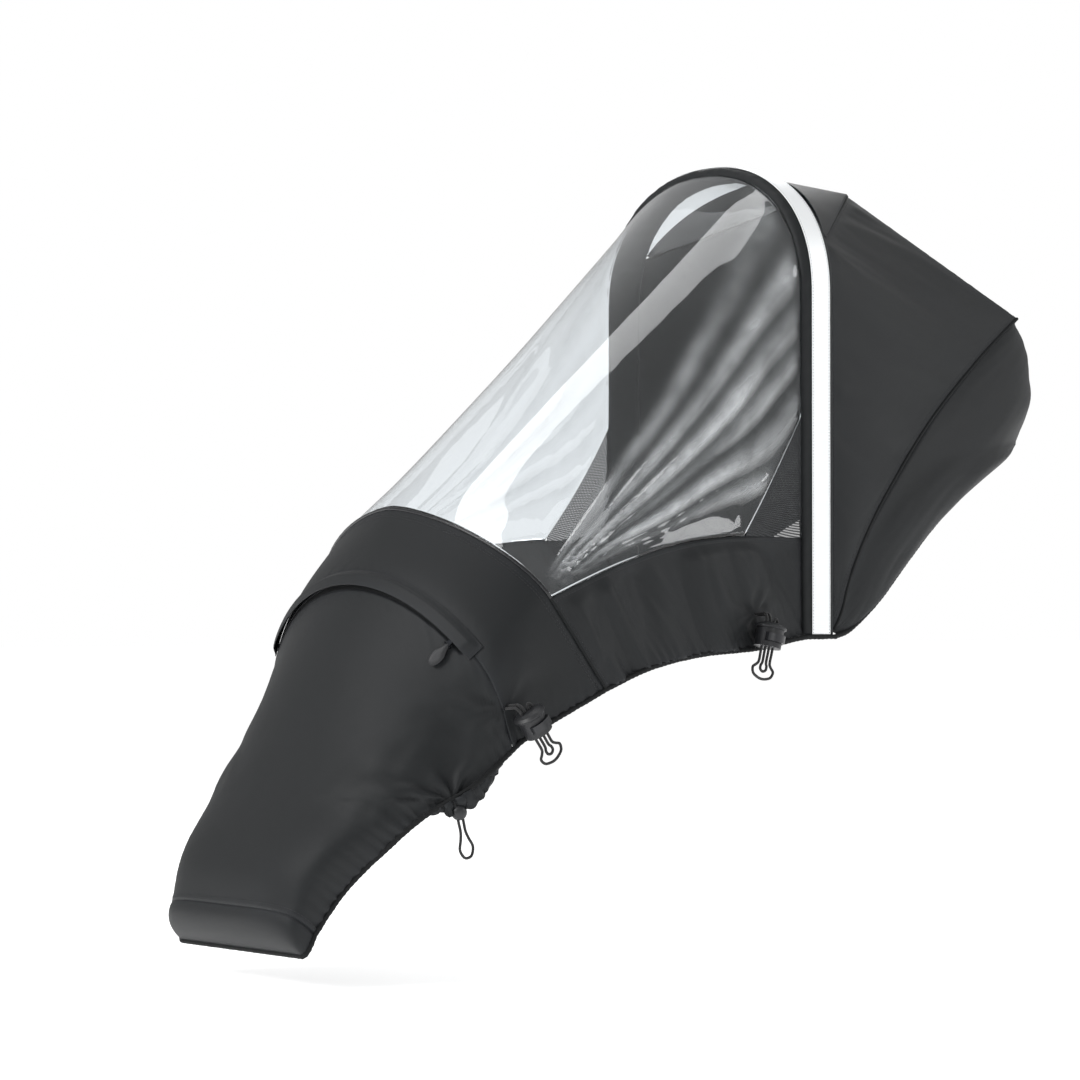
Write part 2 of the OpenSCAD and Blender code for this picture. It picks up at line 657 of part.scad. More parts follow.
// Moves a lock to its place: x points out of the cover, z up the lock
module at_lock(place, tilt, side) {
    mirror([side < 0 ? 1 : 0, 0, 0]) translate(place) rotate([tilt, 0, 0]) children();
}
module lock_housing() {
    difference() {
        union() {
            translate([0, 0, -body_h]) cylinder(h = body_h, d = body_d);
            rotate_extrude() polygon([
                [0, 0], [head_d / 2 - 1, 0], [head_d / 2, 1], [head_d / 2, 2.4], [head_d / 2 - 3, 4.6],
                [head_d / 4, 6.4], [0, 7]
            ]);
        }
        for (y = strands) translate([0, y, -body_h - 1]) cylinder(h = body_h + 10, d = hole_d);
        translate([-button_back - button_travel - 1, -button_w / 2 - button_gap, slot_z])
            cube([body_d, button_w + 2 * button_gap, slot_h]);
    }
}
module lock_button() {
    front = body_d / 2 + button_out;
    difference() {
        intersection() {
            translate([-button_back, -button_w / 2, slot_z + button_gap])
                cube([button_back + front, button_w, button_h]);
            translate([0, 0, -body_h]) cylinder(h = body_h, r = front);
        }
        translate([-hole_d / 2, -strands[3] - hole_d / 2, -body_h])
            cube([hole_d + button_travel, 2 * strands[3] + hole_d, body_h]);
    }
}
module lock_spring() {
    translate([-button_back - button_travel - 1, 0, -body_h / 2]) rotate([0, 90, 0]) difference() {
        cylinder(h = button_travel + 1, d = 6);
        translate([0, 0, -1]) cylinder(h = button_travel + 3, d = 4);
    }
}
module lock_ball() {
    difference() {
        sphere(d = ball_d);
        for (y = ball_strands) translate([0, y, -ball_d]) cylinder(h = 2 * ball_d, d = hole_d);
    }
}

// Route of the doubled elastic: out of the cloth, down the lock, a wide loop, up, over, a narrow loop, up
lock_route = [
    [-23, -7.5, 14], [-12, -7.5, 15], [-4, -7.5, 15], [0, -7.5, 10], [0, -7.5, 4], [0, -7.5, -10],
    [0, -7.5, -25], [0, -7.5, -36], [0, -10, -40], [0, -14, -44], [0, -12, -50], [0, -6, -53],
    [0, 0, -54], [0, 6, -53], [0, 12, -50], [0, 14, -44], [0, 10, -40], [0, 7.5, -36],
    [0, 7.5, -25], [0, 7.5, -10], [0, 7.5, 4], [0, 7.5, 9], [0, 5, 12], [0, 2.5, 9], [0, 2.5, 4],
    [0, 2.5, -10], [0, 2.5, -25], [0, 2.5, -36], [0, 4, -40], [0, 3.6, -44], [0, 0, -46],
    [0, -3.6, -44], [0, -4, -40], [0, -2.5, -36], [0, -2.5, -25], [0, -2.5, -10], [0, -2.5, 4],
    [0, -2.5, 10], [-4, -2.5, 15], [-12, -2.5, 15], [-23, -2.5, 14]
];
// Route of the single loop: out of the hem, through the ball, round, and back
ball_route = [
    [-2, -3, 14], [0, -3, 8], [0, -3, 0], [0, -3, -10], [0, -3, -20], [0, -5, -28], [0, -8, -37],
    [0, -5, -45], [0, 0, -47], [0, 5, -45], [0, 8, -37], [0, 5, -28], [0, 3, -20], [0, 3, -10],
    [0, 3, 0], [0, 3, 8], [-2, 3, 14]
];
module cord(route, rings) {
    fine = [for (i = [0:4 * len(route)]) smooth(route, i / (4 * len(route)))];
    tube(even(fine, rings), cord_d, 8, [1, 0, 0]);
}

// Two small eyelets in the cloth, where the two ends of the elastic come out
eyelet_d = 4.6;
module lock_eyelets() {
    for (y = [strands[0], strands[1]])
        translate([-lock_stand - 0.6, y, lock_exit]) rotate([0, 90, 0]) difference() {
            cylinder(h = 2, d = eyelet_d);
            translate([0, 0, -1]) cylinder(h = 4, d = cord_d + 0.4);
        }
}
module cord_eyelets() {
    color(dark) for (side = [1, -1]) {
        at_lock(rear_lock, rear_tilt, side) lock_eyelets();
        at_lock(front_lock, front_tilt, side) lock_eyelets();
    }
}

module rear_lock(side) { color(dark) at_lock(rear_lock, rear_tilt, side) lock_housing(); }
module rear_button(side) { color(inner_cloth) at_lock(rear_lock, rear_tilt, side) lock_button(); }
module rear_spring(side) { color("silver") at_lock(rear_lock, rear_tilt, side) lock_spring(); }
module rear_cord(side) { color(dark) at_lock(rear_lock, rear_tilt, side) cord(lock_route, 76); }
module front_lock(side) { color(dark) at_lock(front_lock, front_tilt, side) lock_housing(); }
module front_button(side) { color(inner_cloth) at_lock(front_lock, front_tilt, side) lock_button(); }
module front_spring(side) { color("silver") at_lock(front_lock, front_tilt, side) lock_spring(); }
module front_cord(side) { color(dark) at_lock(front_lock, front_tilt, side) cord(lock_route, 76); }
module ball(side) { color(dark) at_lock(ball_place, ball_tilt, side) lock_ball(); }
module cord_ball(side) { color(dark) at_lock(ball_place, ball_tilt, side) cord(ball_route, 30); }

leg_cover_lower();
leg_cover_upper();
foot_cap();
side_panel(1);  // side_panel_left
side_panel(-1);  // side_panel_right
window_front();
window_roof();
vent_mesh(1);  // vent_mesh_left
vent_mesh(-1);  // vent_mesh_right
hood_side(1);  // hood_side_left
hood_side(-1);  // hood_side_right
hood_top();
hood_back(1);  // hood_back_left
hood_back(-1);  // hood_back_right
hoop_rod();
hoop_socket(1);  // hoop_socket_left
hoop_socket(-1);  // hoop_socket_right
hoop_sleeve();
reflective_strip();
knee_binding();
leg_piping(1);  // leg_piping_left
leg_piping(-1);  // leg_piping_right
hood_piping(1);  // hood_piping_left
hood_piping(-1);  // hood_piping_right
hood_binding();
hem_elastic();
zip_tape(-1);  // zip_tape_upper
zip_tape(1);  // zip_tape_lower
zip_chain(-1);  // zip_chain_upper
zip_chain(1);  // zip_chain_lower
zip_stops();
zip_flap();
zip_slider();
zip_pull();
cord_eyelets();
rear_lock(1);  // lock_rear_left
rear_button(1);  // button_rear_left
rear_spring(1);  // spring_rear_left
rear_cord(1);  // cord_rear_left
front_lock(1);  // lock_front_left
front_button(1);  // button_front_left
front_spring(1);  // spring_front_left
front_cord(1);  // cord_front_left
ball(1);  // ball_left
cord_ball(1);  // cord_ball_left
rear_lock(-1);  // lock_rear_right
rear_button(-1);  // button_rear_right
rear_spring(-1);  // spring_rear_right
rear_cord(-1);  // cord_rear_right
front_lock(-1);  // lock_front_right
front_button(-1);  // button_front_right
front_spring(-1);  // spring_front_right
front_cord(-1);  // cord_front_right
ball(-1);  // ball_right
cord_ball(-1);  // cord_ball_right
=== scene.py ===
"""Looks of a weather cover for a child bicycle trailer, built around its CAD frame."""

import math

import bmesh
import bpy
import numpy as np
from bpy.props import FloatProperty, FloatVectorProperty, PointerProperty, StringProperty
from mathutils import Matrix, Vector, noise


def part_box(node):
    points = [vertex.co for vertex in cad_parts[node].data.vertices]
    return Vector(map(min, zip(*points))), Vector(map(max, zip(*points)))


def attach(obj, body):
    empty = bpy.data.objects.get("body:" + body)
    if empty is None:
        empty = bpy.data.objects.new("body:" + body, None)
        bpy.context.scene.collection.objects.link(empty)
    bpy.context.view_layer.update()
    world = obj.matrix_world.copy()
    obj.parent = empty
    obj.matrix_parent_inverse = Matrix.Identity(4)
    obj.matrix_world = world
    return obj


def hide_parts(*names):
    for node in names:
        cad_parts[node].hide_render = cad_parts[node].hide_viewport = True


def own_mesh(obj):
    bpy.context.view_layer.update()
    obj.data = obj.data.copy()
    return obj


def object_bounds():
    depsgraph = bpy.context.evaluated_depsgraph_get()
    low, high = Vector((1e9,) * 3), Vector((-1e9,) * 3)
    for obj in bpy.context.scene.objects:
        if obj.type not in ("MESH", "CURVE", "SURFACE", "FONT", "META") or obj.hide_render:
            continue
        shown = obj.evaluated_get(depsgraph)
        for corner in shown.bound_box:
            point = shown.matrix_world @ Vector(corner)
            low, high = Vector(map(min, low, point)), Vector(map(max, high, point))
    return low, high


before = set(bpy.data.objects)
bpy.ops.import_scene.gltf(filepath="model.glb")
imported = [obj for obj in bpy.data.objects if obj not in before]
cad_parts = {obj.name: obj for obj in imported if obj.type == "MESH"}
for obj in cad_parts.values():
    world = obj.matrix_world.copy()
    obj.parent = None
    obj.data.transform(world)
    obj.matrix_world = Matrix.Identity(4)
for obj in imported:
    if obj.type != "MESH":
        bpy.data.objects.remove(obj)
cad_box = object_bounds()

bl_info = {
    "name": "Trailer Weather Cover",
    "version": (1, 0, 0),
    "blender": (4, 5, 0),
    "location": "View3D > Sidebar > Cover",
    "description": "Builds a soft weather cover with hoop, clear window, hood, zip and cord locks",
    "category": "Object",
}

MM = 0.001
SIDES = {"left": 1, "right": -1}


# ---------- sizes and colours that a user would change ----------

def size(name, description, millimetres):
    """A length property, kept in metres"""
    return FloatProperty(name=name, description=description, default=millimetres * MM,
                         unit="LENGTH", subtype="DISTANCE", precision=4)


def colour(name, description, value):
    """A colour property, kept as its sRGB hex value"""
    return StringProperty(name=name, description=description, default=value)


class CoverSizes(bpy.types.PropertyGroup):
    """Driving sizes of the cover"""
    hoop_width: size("Hoop width", "Between the centre lines of the hoop's legs",
                     2000 * sum(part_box("hoop_socket_left"), Vector()).x / 2)
    hoop_height: size("Hoop height", "Highest point of the hoop's centre line", 510)
    arch_rise: size("Arch rise", "Height of the hoop's curved top", 142)
    knee_width: size("Knee width", "Width of the leg cover across the knees", 420)
    shin_width: size("Shin width", "Width of the leg cover across the shins", 344)
    foot_width: size("Foot width", "Width of the foot pocket", 248)
    cloth: size("Cloth", "Thickness of the coated cloth", 1.4)
    foil: size("Foil", "Thickness of the clear foil", 0.8)
    cord: size("Cord", "Diameter of the elastic cord", 3.0)
    stitch: size("Stitch", "Distance from one stitch to the next", 4.2)
    hem_gather: size("Hem gather", "Height of the puckers along the elastic hem", 1.5)


class CoverColours(bpy.types.PropertyGroup):
    """Colours of the cover's materials"""
    cloth: colour("Cloth", "Coated cloth", "#1D1F20")
    cloth_worn: colour("Worn cloth", "Cloth where it rubs, along its seams", "#292B2E")
    tape: colour("Tape", "Bindings, piping and hem", "#101112")
    foil: colour("Foil", "Haze of the clear foil", "#F2F5F7")
    mesh: colour("Mesh", "Mesh of the vents", "#3A3C3E")
    reflective: colour("Reflective", "Reflective strip", "#F4F6F7")
    plastic: colour("Plastic", "Moulded plastic", "#151618")
    cord: colour("Cord", "Elastic cord", "#141517")
    floor: colour("Floor", "Studio floor", "#FFFFFF")


class CoverStage(bpy.types.PropertyGroup):
    """Camera and light"""
    azimuth: FloatProperty(name="Azimuth", description="Camera's direction round the cover",
                           default=math.radians(54), unit="ROTATION")
    elevation: FloatProperty(name="Elevation", description="Camera's direction above level",
                             default=math.radians(-1), unit="ROTATION")
    distance: size("Distance", "From the camera to the point it looks at", 4333)
    lens: FloatProperty(name="Lens", description="Focal length in millimetres", default=130)
    target: FloatVectorProperty(name="Target", description="Point that the camera looks at",
                                default=(-0.11366, -0.15958, 0.10563), subtype="TRANSLATION")


# ---------- curves and surfaces, as arrays of points in millimetres ----------

def unit(v):
    return v / np.maximum(np.linalg.norm(v, axis=-1, keepdims=True), 1e-9)


def power(x, p):
    return np.sign(x) * np.abs(x) ** p


def mix(a, b, t):
    return a + (b - a) * t


def ease(x):
    x = np.clip(x, 0, 1)
    return x * x * (3 - 2 * x)


def flip(points):
    """The same points on the cover's other side"""
    return points * np.array([-1, 1, 1])


def lengths(points):
    """Length along a line of points, at each point"""
    steps = np.linalg.norm(np.diff(points, axis=0), axis=1)
    return np.concatenate([[0], np.cumsum(steps)])


def sample(at, known, points):
    """Points of a line at the places asked for, where known is the place of each of its own points"""
    return np.stack([np.interp(at, known, points[:, k]) for k in range(3)], -1)


def even(points, count):
    """The same line with equal steps"""
    points = np.asarray(points, float)
    along = lengths(points)
    return sample(np.linspace(0, along[-1], count + 1), along, points)


def smooth(points, t):
    """Smooth curve through the points, t from 0 to 1"""
    points = np.asarray(points, float)
    padded = np.vstack([2 * points[0] - points[1], points, 2 * points[-1] - points[-2]])
    x = np.atleast_1d(t) * (len(points) - 1)
    i = np.minimum(x.astype(int), len(points) - 2)
    f = (x - i)[:, None]
    a, b, c, d = padded[i], padded[i + 1], padded[i + 2], padded[i + 3]
    return (2 * b + (c - a) * f + (2 * a - 5 * b + 4 * c - d) * f * f
            + (3 * b - a - 3 * c + d) * f ** 3) / 2


def normals(grid):
    """Outward direction at each point of a surface whose rows and columns follow the CAD's order"""
    return unit(np.cross(np.gradient(grid, axis=0), np.gradient(grid, axis=1)))


def spans(grid):
    """Distance across and along the cloth at each point, in millimetres"""
    across = np.linalg.norm(np.diff(grid, axis=1), axis=2)
    along = np.linalg.norm(np.diff(grid, axis=0), axis=2)
    rows, cols = grid.shape[:2]
    u = np.hstack([np.zeros((rows, 1)), np.cumsum(across, axis=1)])
    v = np.vstack([np.zeros((1, cols)), np.cumsum(along, axis=0)])
    return u - u.mean(axis=1, keepdims=True), v


def cloud(u, v, seed):
    """Soft noise over two coordinates, from -1 to 1"""
    flat = [noise.noise(Vector((a, b, seed))) for a, b in zip(np.ravel(u), np.ravel(v))]
    return np.array(flat).reshape(np.shape(u)) * 1.6


EDGES = ("first", "last", "start", "end")


def from_edge(grid, sides):
    """Distance in millimetres from the named edges of a surface: the first and last row, and the
    start and end of every row"""
    u, v = spans(grid)
    far = np.full(grid.shape[:2], 1e6)
    edges = dict(zip(EDGES, (v, v[-1:] - v, u - u[:, :1], u[:, -1:] - u)))
    for side in sides:
        far = np.minimum(far, edges[side])
    return far


def hoop_line(s, out, foot, y):
    """Centre line of the hoop, moved out, from the left leg's lower end over to the right one's"""
    half, spring = s.hoop_width / MM / 2, (s.hoop_height - s.arch_rise) / MM
    rise = s.arch_rise / MM
    a = np.radians(np.linspace(0, 180, 181))
    bend = 2 / 2.2
    arch = np.stack([(half + out) * power(np.cos(a), bend), 0 * a + y,
                     spring + (rise + out) * power(np.sin(a), bend)], 1)
    left = np.array([[half + out, y, foot]])
    return np.vstack([left, arch, flip(left)])


class Shape:
    """Outlines of the cloth that several pieces share"""

    def __init__(self, s):
        self.s = s
        self.half = s.knee_width / MM / 2
        self.hoop = s.hoop_width / MM / 2
        self.zip_half, self.zip_sag, self.lean = 182, 76, math.radians(45)
        self.zip_hem, self.zip_crown = np.array([-428, -112]), np.array([-482, 58])
        self.zip_r = (self.zip_half ** 2 + self.zip_sag ** 2) / (2 * self.zip_sag)
        up = unit(self.zip_crown - self.zip_hem)
        self.axis = self.zip_crown - self.zip_r * up
        self.tilt = math.atan2(up[1], up[0])
        self.zip_end = math.asin(self.zip_half / self.zip_r)
        self.hem_up = self.zip_r - np.linalg.norm(self.zip_crown - self.zip_hem)
        self.knee_corner = np.array([self.half - 5, -378, 40])
        self.knee_hem = np.array([self.half + 2, -313, -53])
        self.knee_arch = self.arch(self.half - 5, (-378, 40), (-436, 134), 1.6)
        self.foot = s.foot_width / MM / 2
        self.sole, self.sole_turn = 24, unit(np.array([0, -0.4, -0.92]))
        self.ridge = np.array([[42, 155, 494], [56, 402, 366]])
        self.vent_h, self.vent_start = 132, 0.76
        self.front, self.back, self.side_h = -20, 20, 105
        self.window_rear = hoop_line(s, 0, self.side_h, self.front)

    def arch(self, half, hem, crown, n):
        a = np.radians(np.linspace(0, 180, 361))
        k = power(np.sin(a), 2 / n)[:, None]
        yz = mix(np.array(hem, float), np.array(crown, float), k)
        return np.hstack([(half * power(np.cos(a), 2 / n))[:, None], yz])

    def on_zip_plane(self, x, up, forward):
        c, n = math.cos(self.tilt), math.sin(self.tilt)
        return np.stack([x, self.axis[0] + up * c - forward * n,
                         self.axis[1] + up * n + forward * c], -1)

    def zip_place(self, angle, below, height):
        """Point at an angle along the zip's arc, below it on the cloth and above the cloth"""
        c, n = math.cos(self.lean), math.sin(self.lean)
        r = self.zip_r - below * c + height * n
        return self.on_zip_plane(r * np.cos(angle), r * np.sin(angle), below * n + height * c)

    def zip_section(self, below, half, hem_up):
        r = self.zip_r - below * math.cos(self.lean)
        side = (half - r * math.sin(self.zip_end)) / (1 - math.sin(self.zip_end))
        cx, cu = (r - side) * math.sin(self.zip_end), (r - side) * math.cos(self.zip_end)
        turn = math.pi / 2 - self.zip_end
        a, b = np.linspace(0, turn, 60), np.linspace(turn, math.pi / 2, 90)
        x = np.concatenate([[half], cx + side * np.cos(a), r * np.cos(b[1:])])
        up = np.concatenate([[hem_up], cu + side * np.sin(a), r * np.sin(b[1:])])
        x, up = np.concatenate([x, -x[-2::-1]]), np.concatenate([up, up[-2::-1]])
        return self.on_zip_plane(x, up, below * math.sin(self.lean) + 0 * x)

    def leg(self, columns):
        """Sections of the leg cover from the foot to the knees, and their places along the leg"""
        shin = self.s.shin_width / MM / 2
        knee = np.vstack([self.knee_hem, self.knee_arch, flip(self.knee_hem)])
        sections = [
            self.arch(self.foot, (-608, -294), (-638, -270), 5),
            self.arch(self.foot + 8, (-588, -262), (-632, -236), 4.2),
            self.arch(shin, (-540, -198), (-584, -156), 2.8),
            self.zip_section(35, self.half - 3, self.hem_up - 11),
            self.zip_section(0, self.half, self.hem_up),
            self.zip_section(-14, self.half + 1, self.hem_up + 4),
            knee,
        ]
        sections = np.array([even(p, columns) for p in sections])
        return sections, lengths(sections[:, columns // 2])

    def leg_surface(self, places, columns):
        """Surface of the leg cover: places has one row of distances along the leg for each grid row"""
        sections, knots = self.leg(columns)
        slope = np.diff(sections, axis=0) / np.diff(knots)[:, None, None]
        lead = np.empty_like(sections)
        lead[0], lead[-1] = slope[0], slope[-1]
        a, b = np.diff(knots)[:-1, None, None], np.diff(knots)[1:, None, None]
        lead[1:-1] = (slope[:-1] * b + slope[1:] * a) / (a + b)
        i = np.clip(np.searchsorted(knots, places, side="right") - 1, 0, len(knots) - 2)
        j = np.arange(columns + 1)[None, :] + 0 * i
        h = (knots[i + 1] - knots[i])[..., None]
        t = ((places - knots[i]))[..., None] / h
        p, q = sections[i, j], sections[i + 1, j]
        m, n = lead[i, j] * h, lead[i + 1, j] * h
        return p + m * t + (3 * (q - p) - 2 * m - n) * t ** 2 + (2 * (p - q) + m + n) * t ** 3

    def zip_gap(self, columns):
        """Half of the gap in the cloth along the zip, for each column of the leg cover"""
        sections, _ = self.leg(columns)
        across = lengths(sections[4])
        inside = across[-1] / 2 - np.abs(across - across[-1] / 2)
        start = across[-1] / 2 - self.zip_end * self.zip_r
        return 9 * ease((inside - start) / 12)

    def foot_cap(self, angles, columns):
        """Rows of the foot pocket's closed end, from its middle out to the leg cover's rim"""
        rim = self.leg(columns)[0][0]
        back = np.stack([rim[:, 0] * 0.91, 0 * rim[:, 0] + rim[0, 1], 0 * rim[:, 0] + rim[0, 2]], 1)
        return np.array([mix(back, rim, power(math.cos(a), 0.7))
                         + self.sole * power(math.sin(a), 0.7) * self.sole_turn for a in angles])

    def window(self, v, t):
        """Surface of the window: v from the knees to the hoop, t from its left edge to its right one"""
        fine, fullness = 400, 24
        at, known = np.clip(t, 0, 1) * fine, np.arange(fine + 1)
        fore = sample(at, known, even(self.knee_arch, fine))
        rear = sample(at, known, even(self.window_rear, fine))
        edge = np.maximum(0, np.abs(2 * t - 1) * 2 - 1)
        point = mix(fore, rear, v[..., None])
        point[..., 2] += fullness * np.sin(np.pi * v) * edge * edge
        return point

    def vent_edge(self, v):
        """How far a vent reaches in from the window's edge, as a share of the window's width"""
        rear = lengths(even(self.window_rear, 400))[-1]
        return self.vent_h / rear * np.maximum(0, (v - self.vent_start) / (1 - self.vent_start))

    def side_hem(self):
        points = [self.knee_hem, [self.half - 2, -253, -32],
                  [mix(self.half, self.hoop, 0.27), -181, -19],
                  [mix(self.half, self.hoop, 0.6), -88, -12], [self.hoop + 1, self.front, 0]]
        return smooth(points, np.linspace(0, 1, 200))

    def hood(self):
        """Outlines of the hood's side panel: its front edge, its rear seam, the hem and middle seam"""
        join_h, spring = 428, (self.s.hoop_height - self.s.arch_rise) / MM
        k = ((join_h - spring) / (self.s.arch_rise / MM)) ** 2.2
        join = np.array([self.hoop * (1 - k) ** (1 / 2.2), self.back, join_h])
        front, rear = self.ridge
        foot = np.array([self.hoop, self.back, 0])
        line = hoop_line(self.s, 0, 0, self.back)
        leg = line[(line[:, 0] > 0) & (line[:, 2] > 1) & (line[:, 2] < join_h - 1)]
        seam = np.array([foot, [self.hoop + 1, 34, 24], [self.hoop - 2, 50, 64],
                         [self.hoop - 7, 81, 117], [self.hoop - 22, 132, 173],
                         [mix(self.hoop, rear[0], 0.4), 208, 242],
                         [mix(self.hoop, rear[0], 0.71), 311, 313], rear])
        hem = np.array([foot, [self.hoop - 2, 50, 8], [self.hoop - 10, 96, 38],
                        [self.hoop - 20, 139, 74], [self.hoop - 37, 198, 119],
                        [self.hoop * 0.63, 272, 162], [self.hoop * 0.35, 366, 202], [0, 422, 224]])
        middle = np.array([[0, 420, 225], [0, 446, 270], [0, 448, 312], [0, 434, 350],
                           self.hood_top(1, math.pi / 2)])
        arch = np.vstack([join, *[self.hood_top(0, a)[None] for a in np.linspace(0, math.pi, 25)],
                          flip(join)])
        return {"join": join, "front": np.vstack([foot, leg, join, front]), "seam": seam,
                "hem": hem, "middle": middle, "arch": arch}

    def hood_top(self, t, a):
        """Point of the hood's top: t from its front to its rear, a over it from left to right"""
        p = mix(*self.ridge, t)
        return np.array([p[0] * math.cos(a), p[1] + 6 * t * math.sin(a), p[2] + 3 * math.sin(a)])


# ---------- meshes ----------

def surface(name, grid, material, thickness=0.0, creases=None):
    """A surface bent from a plain grid, with its cut as UV map in metres. Its attribute "seam" tells
    how near a seam is or, where creases are given, how sharply the film is creased."""
    rows, cols = grid.shape[:2]
    u, v = spans(grid)
    bm = bmesh.new()
    bmesh.ops.create_grid(bm, x_segments=cols - 1, y_segments=rows - 1, size=0.5)
    if len(bm.verts) != rows * cols:
        raise RuntimeError(f"{name}: the grid has {len(bm.verts)} corners, not {rows * cols}")
    cut = bm.loops.layers.uv.new("cut")
    seam = bm.verts.layers.float.new("seam")
    near = np.exp(-from_edge(grid, EDGES) / 6) if creases is None else creases
    cells = {vert.index: (round((vert.co.y + 0.5) * (rows - 1)), round((vert.co.x + 0.5) * (cols - 1)))
             for vert in bm.verts}
    for face in bm.faces:
        for loop in face.loops:
            i, j = cells[loop.vert.index]
            loop[cut].uv = (u[i, j] * MM, v[i, j] * MM)
    for vert in bm.verts:
        i, j = cells[vert.index]
        vert.co = grid[i, j] * MM
        vert[seam] = near[i, j]
    bmesh.ops.reverse_faces(bm, faces=bm.faces[:])
    bmesh.ops.remove_doubles(bm, verts=bm.verts[:], dist=0.01 * MM)
    bmesh.ops.dissolve_degenerate(bm, edges=bm.edges[:], dist=0.005 * MM)
    return finished(name, bm, material, thickness)


def finished(name, bm, material, thickness=0.0):
    """Turns a bmesh into a shaded piece of the cover, with a wall where one is given"""
    mesh = bpy.data.meshes.new(name)
    bm.to_mesh(mesh)
    bm.free()
    mesh.polygons.foreach_set("use_smooth", [True] * len(mesh.polygons))
    mesh.materials.append(material)
    piece = bpy.data.objects.new(name, mesh)
    bpy.context.scene.collection.objects.link(piece)
    if thickness:
        wall = piece.modifiers.new("wall", "SOLIDIFY")
        wall.thickness, wall.offset = thickness, -1
    return piece


def rings(path, radius, sides=10, start=(0, 0, 1), caps=True):
    """Grid of a round bar along a path, closed at its ends; radius is one value or one a point"""
    path = np.asarray(path, float)
    radius = np.broadcast_to(radius, len(path)).astype(float)
    tangent = unit(np.gradient(path, axis=0))
    side = [unit(np.array(start) - np.dot(start, tangent[0]) * tangent[0])]
    for t in tangent[1:]:
        side.append(unit(side[-1] - np.dot(side[-1], t) * t))
    if caps:
        blunt = 0.7
        path = np.vstack([path[:1], path[:1], path, path[-1:], path[-1:]])
        radius = np.concatenate([[0, radius[0] * blunt], radius, [radius[-1] * blunt, 0]])
        tangent = np.vstack([tangent[:1], tangent[:1], tangent, tangent[-1:], tangent[-1:]])
        side = [side[0], side[0], *side, side[-1], side[-1]]
        shift = np.zeros(len(path))
        shift[0], shift[-1] = -radius[2] * blunt, radius[-3] * blunt
        shift[1], shift[-2] = shift[0] * blunt, shift[-1] * blunt
        path = path + shift[:, None] * tangent
    side = np.array(side)
    other = np.cross(tangent, side)
    a = np.linspace(0, 2 * math.pi, sides + 1)
    return (path[:, None] + radius[:, None, None]
            * (np.cos(a)[None, :, None] * side[:, None] - np.sin(a)[None, :, None] * other[:, None]))


def stitched(name, lines, pitch, slot_name="cloth"):
    """Rows of stitches: each line is its points and their outward directions, in millimetres"""
    thread = 0.35
    bm = bmesh.new()
    for points, outward in lines:
        along = lengths(points)
        count = int(along[-1] / pitch)
        at = (np.arange(count) + 0.5) * along[-1] / max(count, 1)
        place = sample(at, along, points)
        up = unit(sample(at, along, outward))
        ahead = sample(at + 0.3, along, points) - place
        for p, z, x in zip(place, up, unit(ahead)):
            turn = Matrix((x, np.cross(z, x), z)).transposed().to_4x4()
            turn.translation = Vector((p + z * thread * 0.3) * MM)
            shape = turn @ Matrix.Diagonal((pitch * 0.36 * MM, thread * MM, thread * MM, 1))
            bmesh.ops.create_icosphere(bm, subdivisions=1, radius=1, matrix=shape)
    return dressed(finished(name, bm, finish_of("thread")), "cover", slot_name)


def from_side(grid, side):
    """The surface's points with the named edge as its first row"""
    if side in ("start", "end"):
        grid = grid.transpose(1, 0, 2)
    return grid[::-1] if side in ("last", "end") else grid


def inset_line(grid, side, distance):
    """A line on a surface at a distance from one of its edges, with its outward directions"""
    inward, out = from_side(grid, side), from_side(normals(grid), side)
    depth = np.vstack([np.zeros((1, inward.shape[1])),
                       np.cumsum(np.linalg.norm(np.diff(inward, axis=0), axis=2), axis=0)])
    columns = range(inward.shape[1])
    points = [sample(distance, depth[:, j], inward[:, j]) for j in columns]
    outward = [sample(distance, depth[:, j], out[:, j]) for j in columns]
    return np.array(points), unit(np.array(outward))


def mirrored(lines):
    """Lines of stitches on the cover's other side"""
    return [(flip(points), flip(outward)) for points, outward in lines]


FINE = 0.8        # pitch of the strip's and the flap's stitches against the cloth's


def panel(name, node, grid, look="cloth", thickness=0.0,
          creases=None):
    """A sheet of the cover: its surface, the body it rides on, the node it stands for, and its cut"""
    piece = surface(name, grid, finish_of(look), thickness, creases)
    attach(piece, "cover")
    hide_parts(node)
    return piece


def dressed(piece, body, slot_name, *nodes):
    """A piece that isn't a sheet or a cord: its body, its slot, which is not used, and the nodes it
    stands for
    """
    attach(piece, body)
    if nodes:
        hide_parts(*nodes)
    return piece


def sewn(grid, edges, seed, waves, gather=0.0, hem=None):
    """Gives a panel its folds, which fade at the seams. A wave is its length, its width, its angle in
    degrees and its height."""
    u, v = spans(grid)
    lift = np.zeros(grid.shape[:2])
    for n, (length, width, degrees, height) in enumerate(waves):
        a = math.radians(degrees)
        x, y = u * math.cos(a) + v * math.sin(a), v * math.cos(a) - u * math.sin(a)
        field = cloud(x / length, y / width, seed + 7.3 * n)
        lift += height * (field + 0.35 * np.abs(cloud(x / length * 2, y / width * 2, seed + 31 + n)))
    far = from_edge(grid, edges)
    lift *= ease(far / 22)
    pucker = np.exp(-far / 9) * (1 - np.exp(-far / 2.5))
    run = np.abs(u) * 0.7 + v * 0.7
    lift += 0.8 * pucker * cloud(run / 7, 0 * run, seed + 50)
    if hem:
        far = from_edge(grid, hem)
        line = v if hem[0] in ("start", "end") else u
        tucks = np.sin(line / 1.9 + 2.5 * cloud(line / 14, far / 90, seed + 60))
        lift += gather * np.exp(-far / 16) * tucks
    return grid + lift[..., None] * normals(grid)


